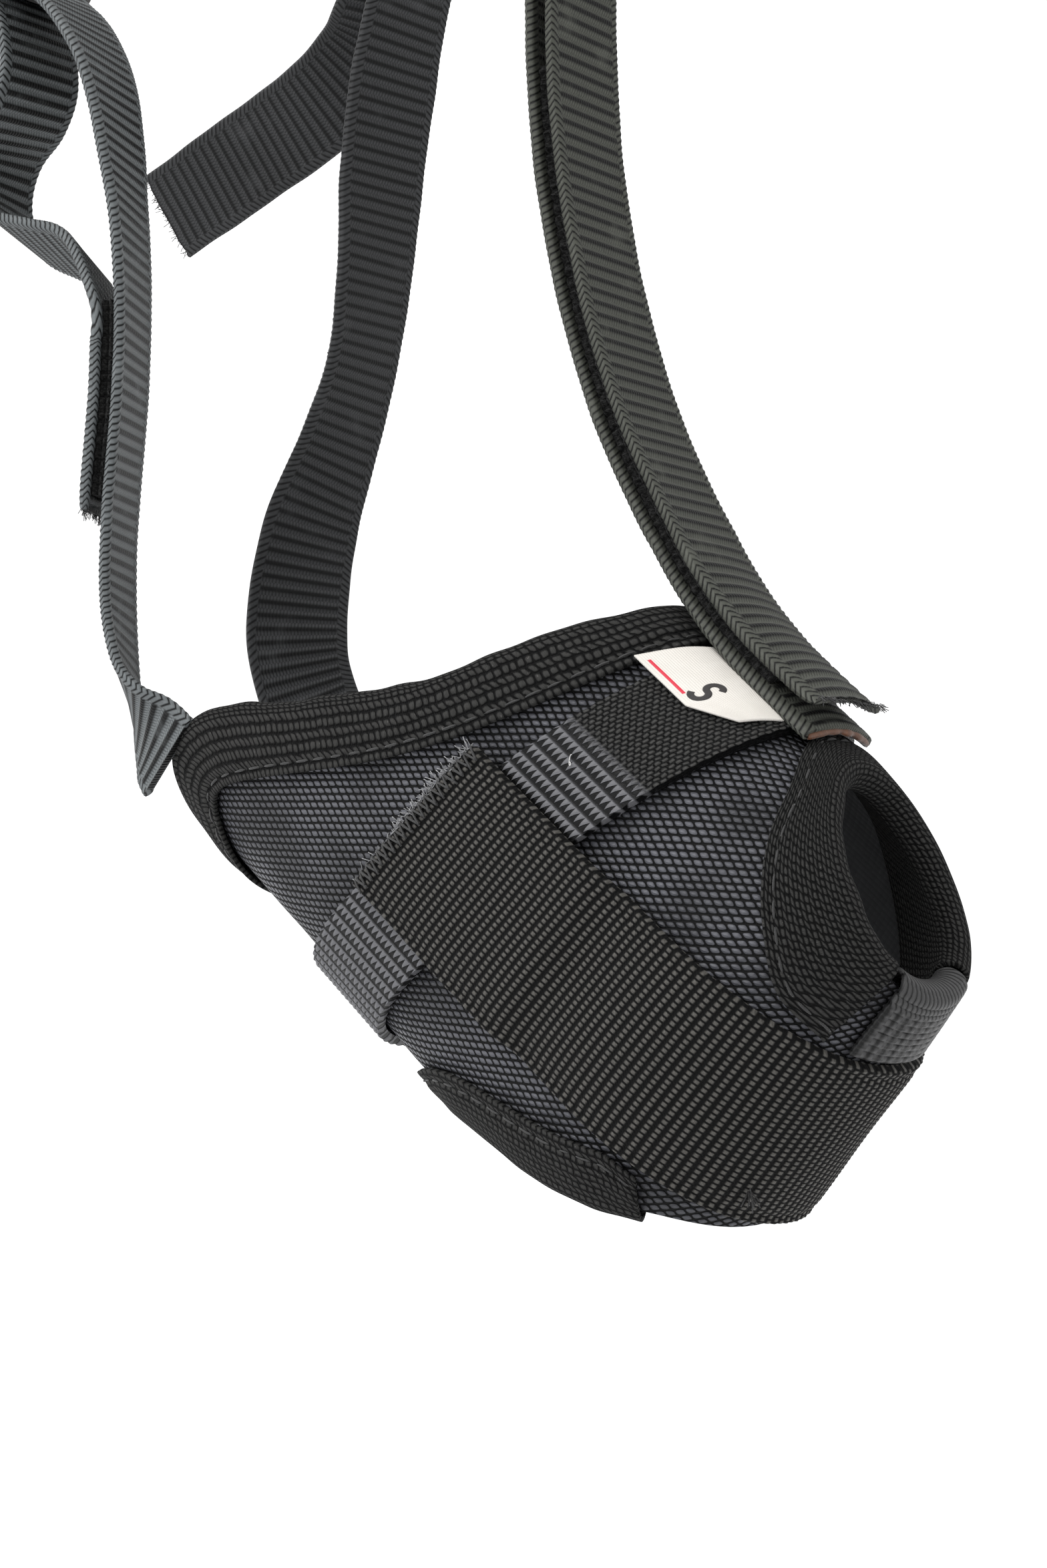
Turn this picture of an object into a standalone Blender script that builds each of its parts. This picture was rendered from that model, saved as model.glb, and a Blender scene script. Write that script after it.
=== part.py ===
"""Soft nylon sleeve muzzle, small size, with webbing straps and a side release buckle left open.

Metres. +X points to the nose, +Y to the dog's left, +Z up from throat to bridge.
The origin is in the middle of the sleeve, where the snout's axis passes through.
"""

import math

import bmesh
import bpy
import numpy as np
from mathutils import Matrix, Vector

MM = 0.001

# Sleeve: a rounded section, closed to a round front in plan.
HALF_WIDTH = 20.0 * MM
CROWN_Z = 35.5 * MM
KEEL_Z = -32.0 * MM
MIDDLE_Z = 3.0 * MM
CROWN_POWER = 2.2
KEEL_POWER = 2.8
FRONT_START_X = 28.0 * MM
FRONT_TIP_X = 52.0 * MM
FRONT_POWER = 2.2
REAR_LIMIT_X = -60.0 * MM
# Rear rim: (distance round the section from the crown, x), from bridge to cheek tip to throat.
REAR_RIM = [
    (0, -4.5), (9, -5.5), (22, -11.5), (35, -19.5), (48, -33), (63, -49), (69, -51), (75, -48), (80, -42.5),
    (84, -38), (88, -36.5),
]
# Lower front edge: (height, x), from the chin back to the throat.
THROAT_EDGE = [(-32, 11), (-29.5, 14), (-23.5, 33), (-18, 45.5), (-14.4, 52)]
# Nose hole: a slanted plane from the bridge to the lip.
HOLE_TOP_X = 26.5 * MM
LIP_Z = 21.0 * MM
# Outer boundary of the nose binding: (height, x).
NOSE_BINDING_EDGE = [
    (35.5, 21.2), (34.4, 23), (31.4, 27), (27.2, 30.2), (23.5, 33.4), (18.4, 38.6), (14.3, 43.4),
    (12.4, 48.5),
]
NOSE_BINDING_END_X = 49.5 * MM

# Layers, as distances out from the sleeve's middle surface.
SHELL_THICKNESS = 0.8 * MM
LINING_THICKNESS = 0.6 * MM
LINING_LIFT = -1.1 * MM
TAPE_THICKNESS = 0.6 * MM
TAPE_OUTER_LIFT = 1.25 * MM
TAPE_INNER_LIFT = -2.35 * MM
TAPE_FOLD = 1.6 * MM
TAPE_MIDDLE_LIFT = (TAPE_OUTER_LIFT + TAPE_INNER_LIFT) / 2
TAPE_FOLD_HALF = 0.7 * MM
# Columns of the sleeve's mesh crowd towards the closed front with this power.
CLOSER_POWER = 1.7
REAR_BINDING_WIDTH = 8.0 * MM
THROAT_BINDING_WIDTH = 6.5 * MM

# Webbing.
STRAP_WIDTH = 15.0 * MM
STRAP_THICKNESS = 1.2 * MM
HOOK_LOOP_WIDTH = 12.5 * MM
HOOK_LOOP_THICKNESS = 0.6 * MM
HOOK_LIFT = 1.2 * MM
LOOP_LIFT = 2.1 * MM
TAIL_LIFT = 3.3 * MM
FOREHEAD_SPACING = 3.0 * MM
CHEEK_SPACING = 1.6 * MM
TAIL_SPACING = 2.6 * MM
BAND_TOP_Z = 11.5 * MM
BAND_BOTTOM_Z = -13.5 * MM
BAND_THICKNESS = 1.0 * MM
BAND_LIFT = 1.4 * MM
BAND_STEP = 1.5 * MM
BAND_STEP_START_X = 16.5 * MM
BAND_STEP_END_X = 23.0 * MM
BAND_END_X = -8.7 * MM
BAND_END_SLANT = 0.18
GIRTH_LIFT = 1.4 * MM
GIRTH_CROWN_X = 13.0 * MM
GIRTH_KEEL_X = -10.0 * MM
LABEL_LIFT = 2.55 * MM
LABEL_THICKNESS = 0.3 * MM

# Buckle, with its bar on the local Y axis and its body along local +X.
BAR_HALF = 0.95 * MM
WRAP_RADIUS = 2.1 * MM
WRAP_END = 1.1 * MM
BUCKLE_WIDTH = 21.0 * MM
BUCKLE_THICKNESS = 8.0 * MM
BUCKLE_END = -1.6 * MM
SLOT_FAR_X = 3.7 * MM
SLOT_HALF_WIDTH = 8.1 * MM
FEMALE_LENGTH = 28.0 * MM
CAVITY_DEPTH = 19.0 * MM
CAVITY_HALF_WIDTH = 8.2 * MM
CAVITY_HALF_HEIGHT = 2.6 * MM
CUT_REACH = 6.0 * MM
FEMALE_ROUNDING = 1.6 * MM
MALE_BASE_LENGTH = 10.0 * MM
MALE_THICKNESS = 4.4 * MM
GUIDE_HALF_WIDTH = 1.6 * MM
GUIDE_ROOT = 2.2 * MM
GUIDE_SHORTER_BY = 3.0 * MM
MALE_CORNER = 2.0 * MM
PRONG_LENGTH = 18.0 * MM
PRONG_GAP = 0.3 * MM
PRONG_INNER_Y = 4.0 * MM
PRONG_HALF_THICKNESS = 1.7 * MM
PRONG_AXIS_Y = 5.7 * MM
# One prong seen from above: (from its root along the buckle, out from its inner face), in millimetres.
PRONG_OUTLINE = [
    (0, 0.6), (0, 4.0), (2, 3.0), (8.5, 2.4), (9, 4.6), (11, 4.6), (17, 1.4), (18, 0.4), (17, -0.4), (2.5, 0),
]

FEMALE_BAR = Vector((-148.0, -18.6, 43.5)) * MM
FEMALE_AXIS = Vector((-1.0, 0.0, 0.0))
FEMALE_UP = Vector((0.0, 0.0, 1.0))
MALE_BAR = Vector((-123.0, 18.6, 85.0)) * MM
MALE_AXIS = Vector((-0.614, 0.0, 0.789)).normalized()
MALE_UP = Vector((0.789, 0.0, 0.614)).normalized()

# Strap centrelines, from the sleeve outwards: x, y, z in millimetres and roll about the line in degrees.
FOREHEAD_ROUTE = [
    (22.5, 0, 38.4, 0), (12, 0, 38.5, 0), (2, 0, 39.1, 0), (-8, 0, 41.0, 0), (-18, 0, 44.4, 0),
    (-29, 0, 49.2, 0), (-41, 0, 56.2, 0), (-53, 0, 65.0, 0), (-64, 0, 74.8, 0), (-76, 0, 88.0, 0),
    (-87, 0, 101.6, 0),
]
# How far the forehead strap's edges bend down over the bridge: (distances from its root, drops).
FOREHEAD_CUP = ([0, 14 * MM, 34 * MM], [1.6 * MM, 1.4 * MM, 0])
# Loop at the top of the forehead strap: along the strap's end direction, and out from it.
FOREHEAD_LOOP = [(4, -1.4), (9, -2.9), (14, -2.3), (16.6, 1.65), (14, 5.6), (9, 6.2), (4, 4.7), (0.9, 3.4)]
RIGHT_ROUTE = [
    (-54.2, -18.6, -23.5, -75), (-59, -18.8, -22.9, -52), (-65, -18.5, -20.5, -36), (-73, -18, -14.5, -30),
    (-81, -18, -5, -30), (-91, -18, 9.5, -30), (-99, -18, 19.5, -29), (-106, -18.2, 27, -27),
    (-112.5, -18.3, 32.6, -23), (-119, -18.4, 38, -18), (-126, -18.6, 42.6, -12), (-135, -18.6, 45.4, -5),
    (-143, -18.6, 45.7, 0),
]
RIGHT_TAIL_LOOSE = [
    (-146.1, -18.6, 41.4, 0), (-141.5, -18.6, 38.8, 0), (-137.2, -18.5, 34.5, 0), (-135.8, -18.3, 28.5, 2),
    (-136.8, -18, 22, 6), (-133.5, -18, 16.6, 12), (-126, -18, 15.0, 18), (-118, -18, 17.4, 23),
    (-111, -18, 19.4, 26),
]
LEFT_ROUTE = [
    (-53.6, 18.4, -22.4, 86), (-58, 17.8, -21.6, 78), (-63.5, 16.2, -18.6, 66), (-68.6, 14.6, -13.6, 54),
    (-73.4, 14.2, -6.6, 40), (-78.4, 15, 2, 23), (-83, 17, 12, 8), (-88, 18, 24, 0), (-95, 18, 36, 4),
    (-103, 18.2, 47, 12), (-110, 18.4, 58, 16), (-115.8, 18.6, 69, 10), (-119.2, 18.6, 78.5, 3),
]
# Stations of the right strap beside which its tail lies, and the tail's roll where the two meet.
RIGHT_SHARED = slice(22, 42)
RIGHT_JOIN_ROLL = 28
# Stations of the left strap's hook strip, and of its tail's loop strip.
LEFT_HOOK = slice(32, 56)
LEFT_LOOP = slice(9, -1)
LEFT_TAIL_ROUTE = [
    (-123.4, 18.6, 82.0, 0), (-122.6, 19.2, 76, -6), (-122.8, 21.5, 67, -26), (-124.8, 25, 58.5, -46),
    (-130, 26.4, 46.5, -60), (-138.6, 27, 32.3, -66), (-147.6, 27, 17.0, -67),
]

COLOURS = {
    "shell_nylon": (0.030, 0.031, 0.034, 0.55),
    "lining_cloth": (0.055, 0.056, 0.060, 0.80),
    "binding_tape": (0.014, 0.013, 0.012, 0.75),
    "band_webbing": (0.018, 0.017, 0.016, 0.65),
    "strap_webbing": (0.022, 0.024, 0.021, 0.60),
    "hook_and_loop": (0.010, 0.010, 0.010, 0.90),
    "buckle_plastic": (0.016, 0.013, 0.012, 0.42),
    "label_cloth": (0.78, 0.75, 0.71, 0.60),
}


# ---------------------------------------------------------------- scene

def clear_scene():
    for item in list(bpy.data.objects):
        bpy.data.objects.remove(item, do_unlink=True)


def new_collection(name):
    made = bpy.data.collections.new(name)
    bpy.context.scene.collection.children.link(made)
    return made


def make_materials():
    made = {}
    for name, (red, green, blue, roughness) in COLOURS.items():
        material = bpy.data.materials.new(name)
        material.use_nodes = True
        shader = material.node_tree.nodes["Principled BSDF"]
        shader.inputs["Base Color"].default_value = (red, green, blue, 1)
        shader.inputs["Roughness"].default_value = roughness
        shader.inputs["Metallic"].default_value = 0.0
        made[name] = material
    return made


def add_object(name, mesh, material, parent=None):
    made = bpy.data.objects.new(name, mesh)
    PARTS.objects.link(made)
    mesh.materials.append(MATERIALS[material])
    mesh.shade_smooth()
    mesh.set_sharp_from_angle(angle=math.radians(40))
    if parent is not None:
        made.parent = parent
        made.matrix_parent_inverse = parent.matrix_world.inverted()
    return made


def joint_empty(name, position, parent=None):
    empty = bpy.data.objects.new(name, None)
    PARTS.objects.link(empty)
    if parent is not None:
        empty.parent = parent
        empty.matrix_parent_inverse = parent.matrix_world.inverted()
    empty.location = position
    bpy.context.view_layer.update()
    return empty


# ---------------------------------------------------------------- curves and tables

def smooth_through(knots, at):
    """Values of a smooth curve through (position, value) knots, by Hermite pieces with limited slopes."""
    xs, ys = (np.array(column, float) for column in zip(*knots))
    steps = np.diff(ys) / np.diff(xs)
    slopes = np.zeros(len(xs))
    for i in range(1, len(xs) - 1):
        if steps[i - 1] * steps[i] > 0:
            slopes[i] = 2 * steps[i - 1] * steps[i] / (steps[i - 1] + steps[i])
    at = np.clip(np.asarray(at, float), xs[0], xs[-1])
    i = np.clip(np.searchsorted(xs, at) - 1, 0, len(xs) - 2)
    h = xs[i + 1] - xs[i]
    t = (at - xs[i]) / h
    return ((1 + 2 * t) * (1 - t) ** 2 * ys[i] + t * (1 - t) ** 2 * h * slopes[i]
            + t * t * (3 - 2 * t) * ys[i + 1] + t * t * (t - 1) * h * slopes[i + 1])


def smooth_path(points, spacing):
    """Points of a Catmull-Rom curve through the given ones, resampled to an even spacing."""
    p = np.array(points, float)
    p = np.vstack([2 * p[0] - p[1], p, 2 * p[-1] - p[-2]])
    dense = []
    for i in range(1, len(p) - 2):
        for t in np.linspace(0, 1, 24, endpoint=False):
            dense.append(0.5 * (2 * p[i] + (p[i + 1] - p[i - 1]) * t
                                + (2 * p[i - 1] - 5 * p[i] + 4 * p[i + 1] - p[i + 2]) * t * t
                                + (3 * p[i] - p[i - 1] - 3 * p[i + 1] + p[i + 2]) * t ** 3))
    dense = np.array(dense + [p[-2]])
    along = np.concatenate([[0], np.cumsum(np.linalg.norm(np.diff(dense[:, :3], axis=0), axis=1))])
    count = max(2, round(along[-1] / spacing) + 1)
    stations = np.linspace(0, along[-1], count)
    return np.stack([np.interp(stations, along, dense[:, k]) for k in range(p.shape[1])], 1)


def section_table():
    """Half of the section: arc length from the crown, distance from the middle plane, height."""
    angle = np.linspace(0, math.pi, 1441)
    power = np.where(angle <= math.pi / 2, CROWN_POWER, KEEL_POWER)
    rise = np.where(angle <= math.pi / 2, CROWN_Z - MIDDLE_Z, MIDDLE_Z - KEEL_Z)
    out = HALF_WIDTH * np.abs(np.sin(angle)) ** (2 / power)
    height = MIDDLE_Z + rise * np.sign(np.cos(angle)) * np.abs(np.cos(angle)) ** (2 / power)
    arc = np.concatenate([[0], np.cumsum(np.hypot(np.diff(out), np.diff(height)))])
    return arc, out, height


def plan_table():
    """Plan outline: arc length from the rear limit, x, width ratio."""
    angle = np.linspace(0, math.pi / 2, 721)
    x = FRONT_START_X + (FRONT_TIP_X - FRONT_START_X) * np.sin(angle) ** (2 / FRONT_POWER)
    ratio = np.cos(angle) ** (2 / FRONT_POWER)
    x = np.concatenate([[REAR_LIMIT_X], x])
    ratio = np.concatenate([[1.0], ratio])
    arc = np.concatenate([[0], np.cumsum(np.hypot(np.diff(x), np.diff(ratio) * HALF_WIDTH))])
    return arc, x, ratio


SECTION_ARC, SECTION_OUT, SECTION_HEIGHT = section_table()
PLAN_ARC, PLAN_X, PLAN_RATIO = plan_table()
HALF_GIRTH = SECTION_ARC[-1]
TIP_ARC = PLAN_ARC[-1]


def arc_of_x(x):
    return np.interp(x, PLAN_X, PLAN_ARC)


def x_of_arc(arc):
    return np.interp(arc, PLAN_ARC, PLAN_X)


def round_of_height(height):
    """Distance round the section from the crown at which the section has this height."""
    return np.interp(-np.asarray(height, float), -SECTION_HEIGHT, SECTION_ARC)


def height_of_round(around):
    return np.interp(np.abs(around), SECTION_ARC, SECTION_HEIGHT)


def middle_point(along, around):
    """Point of the sleeve's middle surface. along is the plan arc; around is negative on the right side."""
    side = -1.0 if around < 0 else 1.0
    ratio = np.interp(along, PLAN_ARC, PLAN_RATIO)
    out = np.interp(abs(around), SECTION_ARC, SECTION_OUT)
    return np.array([x_of_arc(along), side * ratio * out, height_of_round(around)])


def sleeve_point(along, around, lift=0.0):
    """Point at a distance out from the middle surface."""
    small = 0.05 * MM
    a0, a1 = min(along, TIP_ARC) - small, min(along + small, TIP_ARC)
    limit = HALF_GIRTH - 1e-7
    r0, r1 = max(around - small, -limit), min(around + small, limit)
    d_along = middle_point(a1, around) - middle_point(a0, around)
    d_round = middle_point(a0, r1) - middle_point(a0, r0)
    normal = np.cross(d_along, d_round)
    length = np.linalg.norm(normal)
    normal = normal / length if length > 1e-15 else np.array([1.0, 0, 0])
    if along >= TIP_ARC - 1e-6:
        normal = np.array([1.0, 0, 0])
    return middle_point(min(along, TIP_ARC), around) + lift * normal


# ---------------------------------------------------------------- sheets

def grid_mesh(name, rows, close_rows=False):
    """Mesh of quads through a grid of points. close_rows joins the last point of each row to its first."""
    mesh = bpy.data.meshes.new(name)
    work = bmesh.new()
    made = [[work.verts.new(Vector(p)) for p in row] for row in rows]
    width = len(rows[0])
    for upper, lower in zip(made, made[1:]):
        for k in range(width if close_rows else width - 1):
            n = (k + 1) % width
            work.faces.new((upper[k], upper[n], lower[n], lower[k]))
    bmesh.ops.remove_doubles(work, verts=work.verts, dist=1e-6)
    bmesh.ops.recalc_face_normals(work, faces=work.faces)
    work.to_mesh(mesh)
    work.free()
    return mesh


def thicken(item, thickness):
    solid = item.modifiers.new("thickness", "SOLIDIFY")
    solid.thickness = thickness
    solid.offset = 0.0
    solid.use_even_offset = False
    return item


def sheet(name, rows, thickness, material, parent=None, close_rows=False):
    return thicken(add_object(name, grid_mesh(name, rows, close_rows), material, parent), thickness)


def rear_arc(around):
    return arc_of_x(smooth_through(REAR_RIM, abs(around) / MM) * MM)


def hole_x(height):
    """x of the nose hole's slanted plane at this height."""
    slope = (FRONT_TIP_X - HOLE_TOP_X) / (CROWN_Z - LIP_Z)
    return HOLE_TOP_X + (CROWN_Z - height) * slope


def hole_height(x):
    """Height of the nose hole's slanted plane at this x."""
    return CROWN_Z - (x - HOLE_TOP_X) * (CROWN_Z - LIP_Z) / (FRONT_TIP_X - HOLE_TOP_X)


def front_arc(around):
    height = height_of_round(around)
    if height > LIP_Z:
        x = hole_x(height)
    else:
        x = smooth_through(THROAT_EDGE, height / MM) * MM
    return arc_of_x(min(x, FRONT_TIP_X))


def body_sheet(name, lift, thickness, material):
    """The sewn tube, from the rear rim to the nose hole, the closed front and the throat edge."""
    length_rows = 16
    lip_round, chin_round = round_of_height(LIP_Z), round_of_height(THROAT_EDGE[-1][0] * MM)
    closer = np.linspace(0, 1, 10) ** CLOSER_POWER
    half = np.concatenate([
        lip_round * (1 - closer[::-1])[:-1], np.linspace(lip_round, chin_round, 6)[:-1],
        chin_round + (HALF_GIRTH - chin_round) * closer,
    ])
    around = np.concatenate([-half[::-1], half[1:-1]])
    rows = []
    for share in np.linspace(0, 1, length_rows):
        row = []
        for r in around:
            rear, front = rear_arc(r), front_arc(r)
            row.append(sleeve_point(front - (front - rear) * (1 - share) ** CLOSER_POWER, r, lift))
        rows.append(row)
    return sheet(name, rows, thickness, material, close_rows=True)


def folded_tape(stations):
    """Tape folded over an edge. Each station is (edge, inner) with both as (along, around) on the sleeve."""
    rows = []
    for edge, inner in stations:
        edge, inner = np.array(edge), np.array(inner)
        fold = edge + (edge - inner) / np.linalg.norm(edge - inner) * TAPE_FOLD
        middle = (edge + inner) / 2
        inner_end = 0.1 * edge + 0.9 * inner
        profile = [
            (inner, TAPE_OUTER_LIFT), (middle, TAPE_OUTER_LIFT), (edge, TAPE_OUTER_LIFT),
            (fold, TAPE_MIDDLE_LIFT + TAPE_FOLD_HALF), (fold, TAPE_MIDDLE_LIFT - TAPE_FOLD_HALF),
            (edge, TAPE_INNER_LIFT), (middle, TAPE_INNER_LIFT), (inner_end, TAPE_INNER_LIFT),
        ]
        rows.append([sleeve_point(*place, lift) for place, lift in profile])
    return rows


# ---------------------------------------------------------------- sewn pieces

def make_rear_binding():
    count = 56
    around = np.linspace(-HALF_GIRTH, HALF_GIRTH, count + 1)[:-1]
    edge = np.array([[rear_arc(r), r] for r in around])
    ahead, behind = np.roll(edge, -1, 0), np.roll(edge, 1, 0)
    step = ahead - behind
    step[:, 1] = (step[:, 1] + HALF_GIRTH) % (2 * HALF_GIRTH) - HALF_GIRTH
    normal = np.stack([step[:, 1], -step[:, 0]], 1)
    normal /= np.linalg.norm(normal, axis=1)[:, None]
    inner = edge + normal * REAR_BINDING_WIDTH
    for _ in range(8):
        ahead, behind = np.roll(inner, -1, 0), np.roll(inner, 1, 0)
        ahead[-1, 1] += 2 * HALF_GIRTH
        behind[0, 1] -= 2 * HALF_GIRTH
        inner = (inner + ahead + behind) / 3
    limit = HALF_GIRTH - 0.01 * MM
    inner[:, 1] = np.clip(inner[:, 1], -limit, limit)
    rows = folded_tape(list(zip(edge, inner)))
    rows.append(rows[0])
    return sheet("rear_rim_binding", rows, TAPE_THICKNESS, "binding_tape")


def make_nose_binding():
    """One tape over the bridge side of the nose hole, from the right lip seam to the left one."""
    stations = []
    closer = 1 - (1 - np.linspace(0, 1, 15)) ** CLOSER_POWER
    end_round = round_of_height(hole_height(NOSE_BINDING_END_X))
    edge_rounds = end_round * np.concatenate([-closer[:0:-1], closer])
    last = round_of_height(NOSE_BINDING_EDGE[-1][0] * MM)
    knots = sorted(NOSE_BINDING_EDGE)
    for r in edge_rounds:
        share = abs(r) / edge_rounds[-1]
        inner_round = math.copysign(last * share ** 1.08, r)
        height = height_of_round(inner_round)
        edge = (arc_of_x(hole_x(height_of_round(r))), r)
        inner = (arc_of_x(smooth_through(knots, height / MM) * MM), inner_round)
        stations.append((edge, inner))
    return sheet("nose_rim_binding", folded_tape(stations), TAPE_THICKNESS, "binding_tape")


def make_throat_binding():
    """One tape along the lower front edge, from the chin's right side round the throat to its left side."""
    start = round_of_height(-18.6 * MM)
    half = np.linspace(start, HALF_GIRTH - 0.02 * MM, 17)
    around = np.concatenate([-half, half[::-1]])
    edge = np.array([[front_arc(r), r] for r in around])
    unrolled = np.array([[a, r if r < 0 else r - 2 * HALF_GIRTH] for a, r in edge])
    step = np.gradient(unrolled, axis=0)
    normal = np.stack([step[:, 1], -step[:, 0]], 1)
    normal /= np.linalg.norm(normal, axis=1)[:, None]
    stations = []
    top = round_of_height(BAND_BOTTOM_Z - 1.2 * MM)
    for (along, r), (n_along, n_round) in zip(edge, normal):
        width = THROAT_BINDING_WIDTH
        inner_round = r + n_round * width
        if abs(inner_round) > HALF_GIRTH:
            inner_round = math.copysign(HALF_GIRTH - 0.01 * MM, r)
        if abs(inner_round) < top:
            inner_round = math.copysign(top, r)
        stations.append(((along, r), (along + n_along * width, inner_round)))
    return sheet("throat_binding", folded_tape(stations), TAPE_THICKNESS, "binding_tape")


def wrap_round_front(rear_x, height, share):
    """(along, around) on a level line. share is -1 at the right rear end, 0 at the tip, +1 at the left end."""
    reach = TIP_ARC - arc_of_x(rear_x)
    return TIP_ARC - abs(share) * reach, math.copysign(round_of_height(height), share)


def band_lift(x):
    """The band steps up where it passes over the girth strap."""
    t = min(max((BAND_STEP_END_X - x) / (BAND_STEP_END_X - BAND_STEP_START_X), 0), 1)
    return BAND_LIFT + BAND_STEP * t * t * (3 - 2 * t)


def make_chin_band():
    shares = np.linspace(-1, 1, 45)
    heights = np.linspace(BAND_TOP_Z, BAND_BOTTOM_Z, 6)
    rows = []
    for share in shares:
        row = []
        for height in heights:
            rear_x = BAND_END_X + BAND_END_SLANT * height
            along, around = wrap_round_front(rear_x, height, share or 1e-9)
            row.append(sleeve_point(along, around, band_lift(x_of_arc(along))))
        rows.append(row)
    return sheet("chin_band", rows, BAND_THICKNESS, "band_webbing")


def girth_centre(around):
    height = height_of_round(around)
    return GIRTH_KEEL_X + (GIRTH_CROWN_X - GIRTH_KEEL_X) * (height - KEEL_Z) / (CROWN_Z - KEEL_Z)


def make_girth_strap():
    count = 60
    rows = []
    for r in np.linspace(-HALF_GIRTH, HALF_GIRTH, count + 1)[:-1]:
        stations = [arc_of_x(girth_centre(r) + side * STRAP_WIDTH / 2) for side in (-1, 0, 1)]
        rows.append([sleeve_point(along, r, GIRTH_LIFT) for along in stations])
    rows.append(rows[0])
    return sheet("girth_strap", rows, STRAP_THICKNESS, "band_webbing")


def make_lip_strip():
    """Short strip folded over the lower edge of the nose hole, between the two ends of the nose binding."""
    rows = []
    reach = TIP_ARC - arc_of_x(NOSE_BINDING_END_X + 0.9 * MM)
    bottom = BAND_TOP_Z + 0.9 * MM
    for share in np.linspace(-1, 1, 13):
        along = TIP_ARC - abs(share) * reach
        top = hole_height(x_of_arc(along))
        fold = top + TAPE_FOLD
        profile = [
            (bottom, TAPE_OUTER_LIFT), ((bottom + top) / 2, TAPE_OUTER_LIFT), (top, TAPE_OUTER_LIFT),
            (fold, TAPE_MIDDLE_LIFT + TAPE_FOLD_HALF), (fold, TAPE_MIDDLE_LIFT - TAPE_FOLD_HALF),
            (top, TAPE_INNER_LIFT), ((bottom + top) / 2, TAPE_INNER_LIFT), (bottom + 1 * MM, TAPE_INNER_LIFT),
        ]
        side = math.copysign(1, share)
        rows.append([sleeve_point(along, side * round_of_height(height), lift) for height, lift in profile])
    return sheet("nose_lip_strip", rows, TAPE_THICKNESS, "band_webbing")


def make_label():
    """White woven label with one cut corner, lying on the girth strap beside the forehead strap."""
    rows = []
    for share in np.linspace(0, 1, 7):
        near = np.array([3.0 + 14.7 * share, -8.7])
        far = np.array([0.5 + 16.0 * share, -13.9 + 2.9 * max(0, share - 0.62) / 0.38])
        row = []
        for across in (0, 0.5, 1):
            x, around = near + (far - near) * across
            row.append(sleeve_point(arc_of_x(x * MM), around * MM, LABEL_LIFT))
        rows.append(row)
    return sheet("size_label", rows, LABEL_THICKNESS, "label_cloth")


# ---------------------------------------------------------------- straps

def route_frames(route, spacing):
    """Centre, width direction and outward direction at even stations of a route."""
    path = smooth_path([(x * MM, y * MM, z * MM, roll) for x, y, z, roll in route], spacing)
    centre = path[:, :3]
    tangent = np.gradient(centre, axis=0)
    tangent /= np.linalg.norm(tangent, axis=1)[:, None]
    across = np.array([0, 1.0, 0]) - tangent * tangent[:, 1:2]
    across /= np.linalg.norm(across, axis=1)[:, None]
    out = np.cross(across, tangent)
    roll = np.radians(path[:, 3])[:, None]
    width_way = np.cos(roll) * across + np.sin(roll) * out
    return centre, width_way, np.cross(width_way, tangent)


def ribbon(name, frames, width, thickness, material, parent, lift=0.0, cup=None, columns=3):
    """Flat webbing along a route. cup is how far the edges bend down at each station."""
    rows = []
    sides = np.linspace(-1, 1, columns)
    for i, (centre, across, out) in enumerate(zip(*frames)):
        drop = 0.0 if cup is None else cup[i]
        offsets = sides * width / 2
        drops = drop * (offsets / (STRAP_WIDTH / 2)) ** 2
        rows.append([centre + across * offset + out * (lift - low) for offset, low in zip(offsets, drops)])
    return sheet(name, rows, thickness, material, parent)


def part_of(frames, stations):
    return tuple(values[stations] for values in frames)


def loop_route():
    """Forehead strap's route with its top loop, in the middle plane."""
    (x0, _, z0, _), (x1, _, z1, _) = FOREHEAD_ROUTE[-2:]
    length = math.hypot(x1 - x0, z1 - z0)
    way_x, way_z = (x1 - x0) / length, (z1 - z0) / length
    turned = [(x1 + way_x * a + way_z * b, 0, z1 + way_z * a - way_x * b, 0) for a, b in FOREHEAD_LOOP]
    return FOREHEAD_ROUTE + turned


def make_forehead():
    strap_joint = joint_empty("forehead_swing_axis", Vector(FOREHEAD_ROUTE[0][:3]) * MM)
    whole = route_frames(loop_route(), FOREHEAD_SPACING)
    cup = np.interp(np.arange(len(whole[0])) * FOREHEAD_SPACING, *FOREHEAD_CUP)
    ribbon("forehead_strap", whole, STRAP_WIDTH, STRAP_THICKNESS, "strap_webbing", strap_joint, cup=cup,
           columns=5)

    top_of_route = Vector(FOREHEAD_ROUTE[-1][:3]) * MM
    last = int(np.argmin(np.linalg.norm(whole[0] - np.array(top_of_route), axis=1)))
    layers = part_of(whole, slice(0, last))
    top = Vector(layers[0][-1] + layers[2][-1] * TAIL_LIFT)
    tail_joint = joint_empty("forehead_peel_axis", top, strap_joint)
    stuck = slice(3, last - 9)
    for name, lift, joint in (("hook", HOOK_LIFT, strap_joint), ("loop", LOOP_LIFT, tail_joint)):
        ribbon(f"forehead_{name}_strip", part_of(layers, stuck), HOOK_LOOP_WIDTH, HOOK_LOOP_THICKNESS,
               "hook_and_loop", joint, lift=lift, cup=cup[stuck], columns=5)
    ribbon("forehead_tail", layers, STRAP_WIDTH, STRAP_THICKNESS, "strap_webbing", tail_joint,
           lift=TAIL_LIFT, cup=cup[:last], columns=5)


def bar_wrap(bar, axis, up, start_deg, end_deg):
    """Route points round the slot side of a buckle bar, and a little past it."""
    points = []
    for degrees in np.linspace(start_deg, end_deg, 6):
        angle = math.radians(degrees)
        points.append(bar + WRAP_RADIUS * (math.cos(angle) * axis + math.sin(angle) * up))
    points.append(points[-1] - axis * WRAP_END)
    return [(p.x / MM, p.y / MM, p.z / MM, 0) for p in points]


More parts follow.
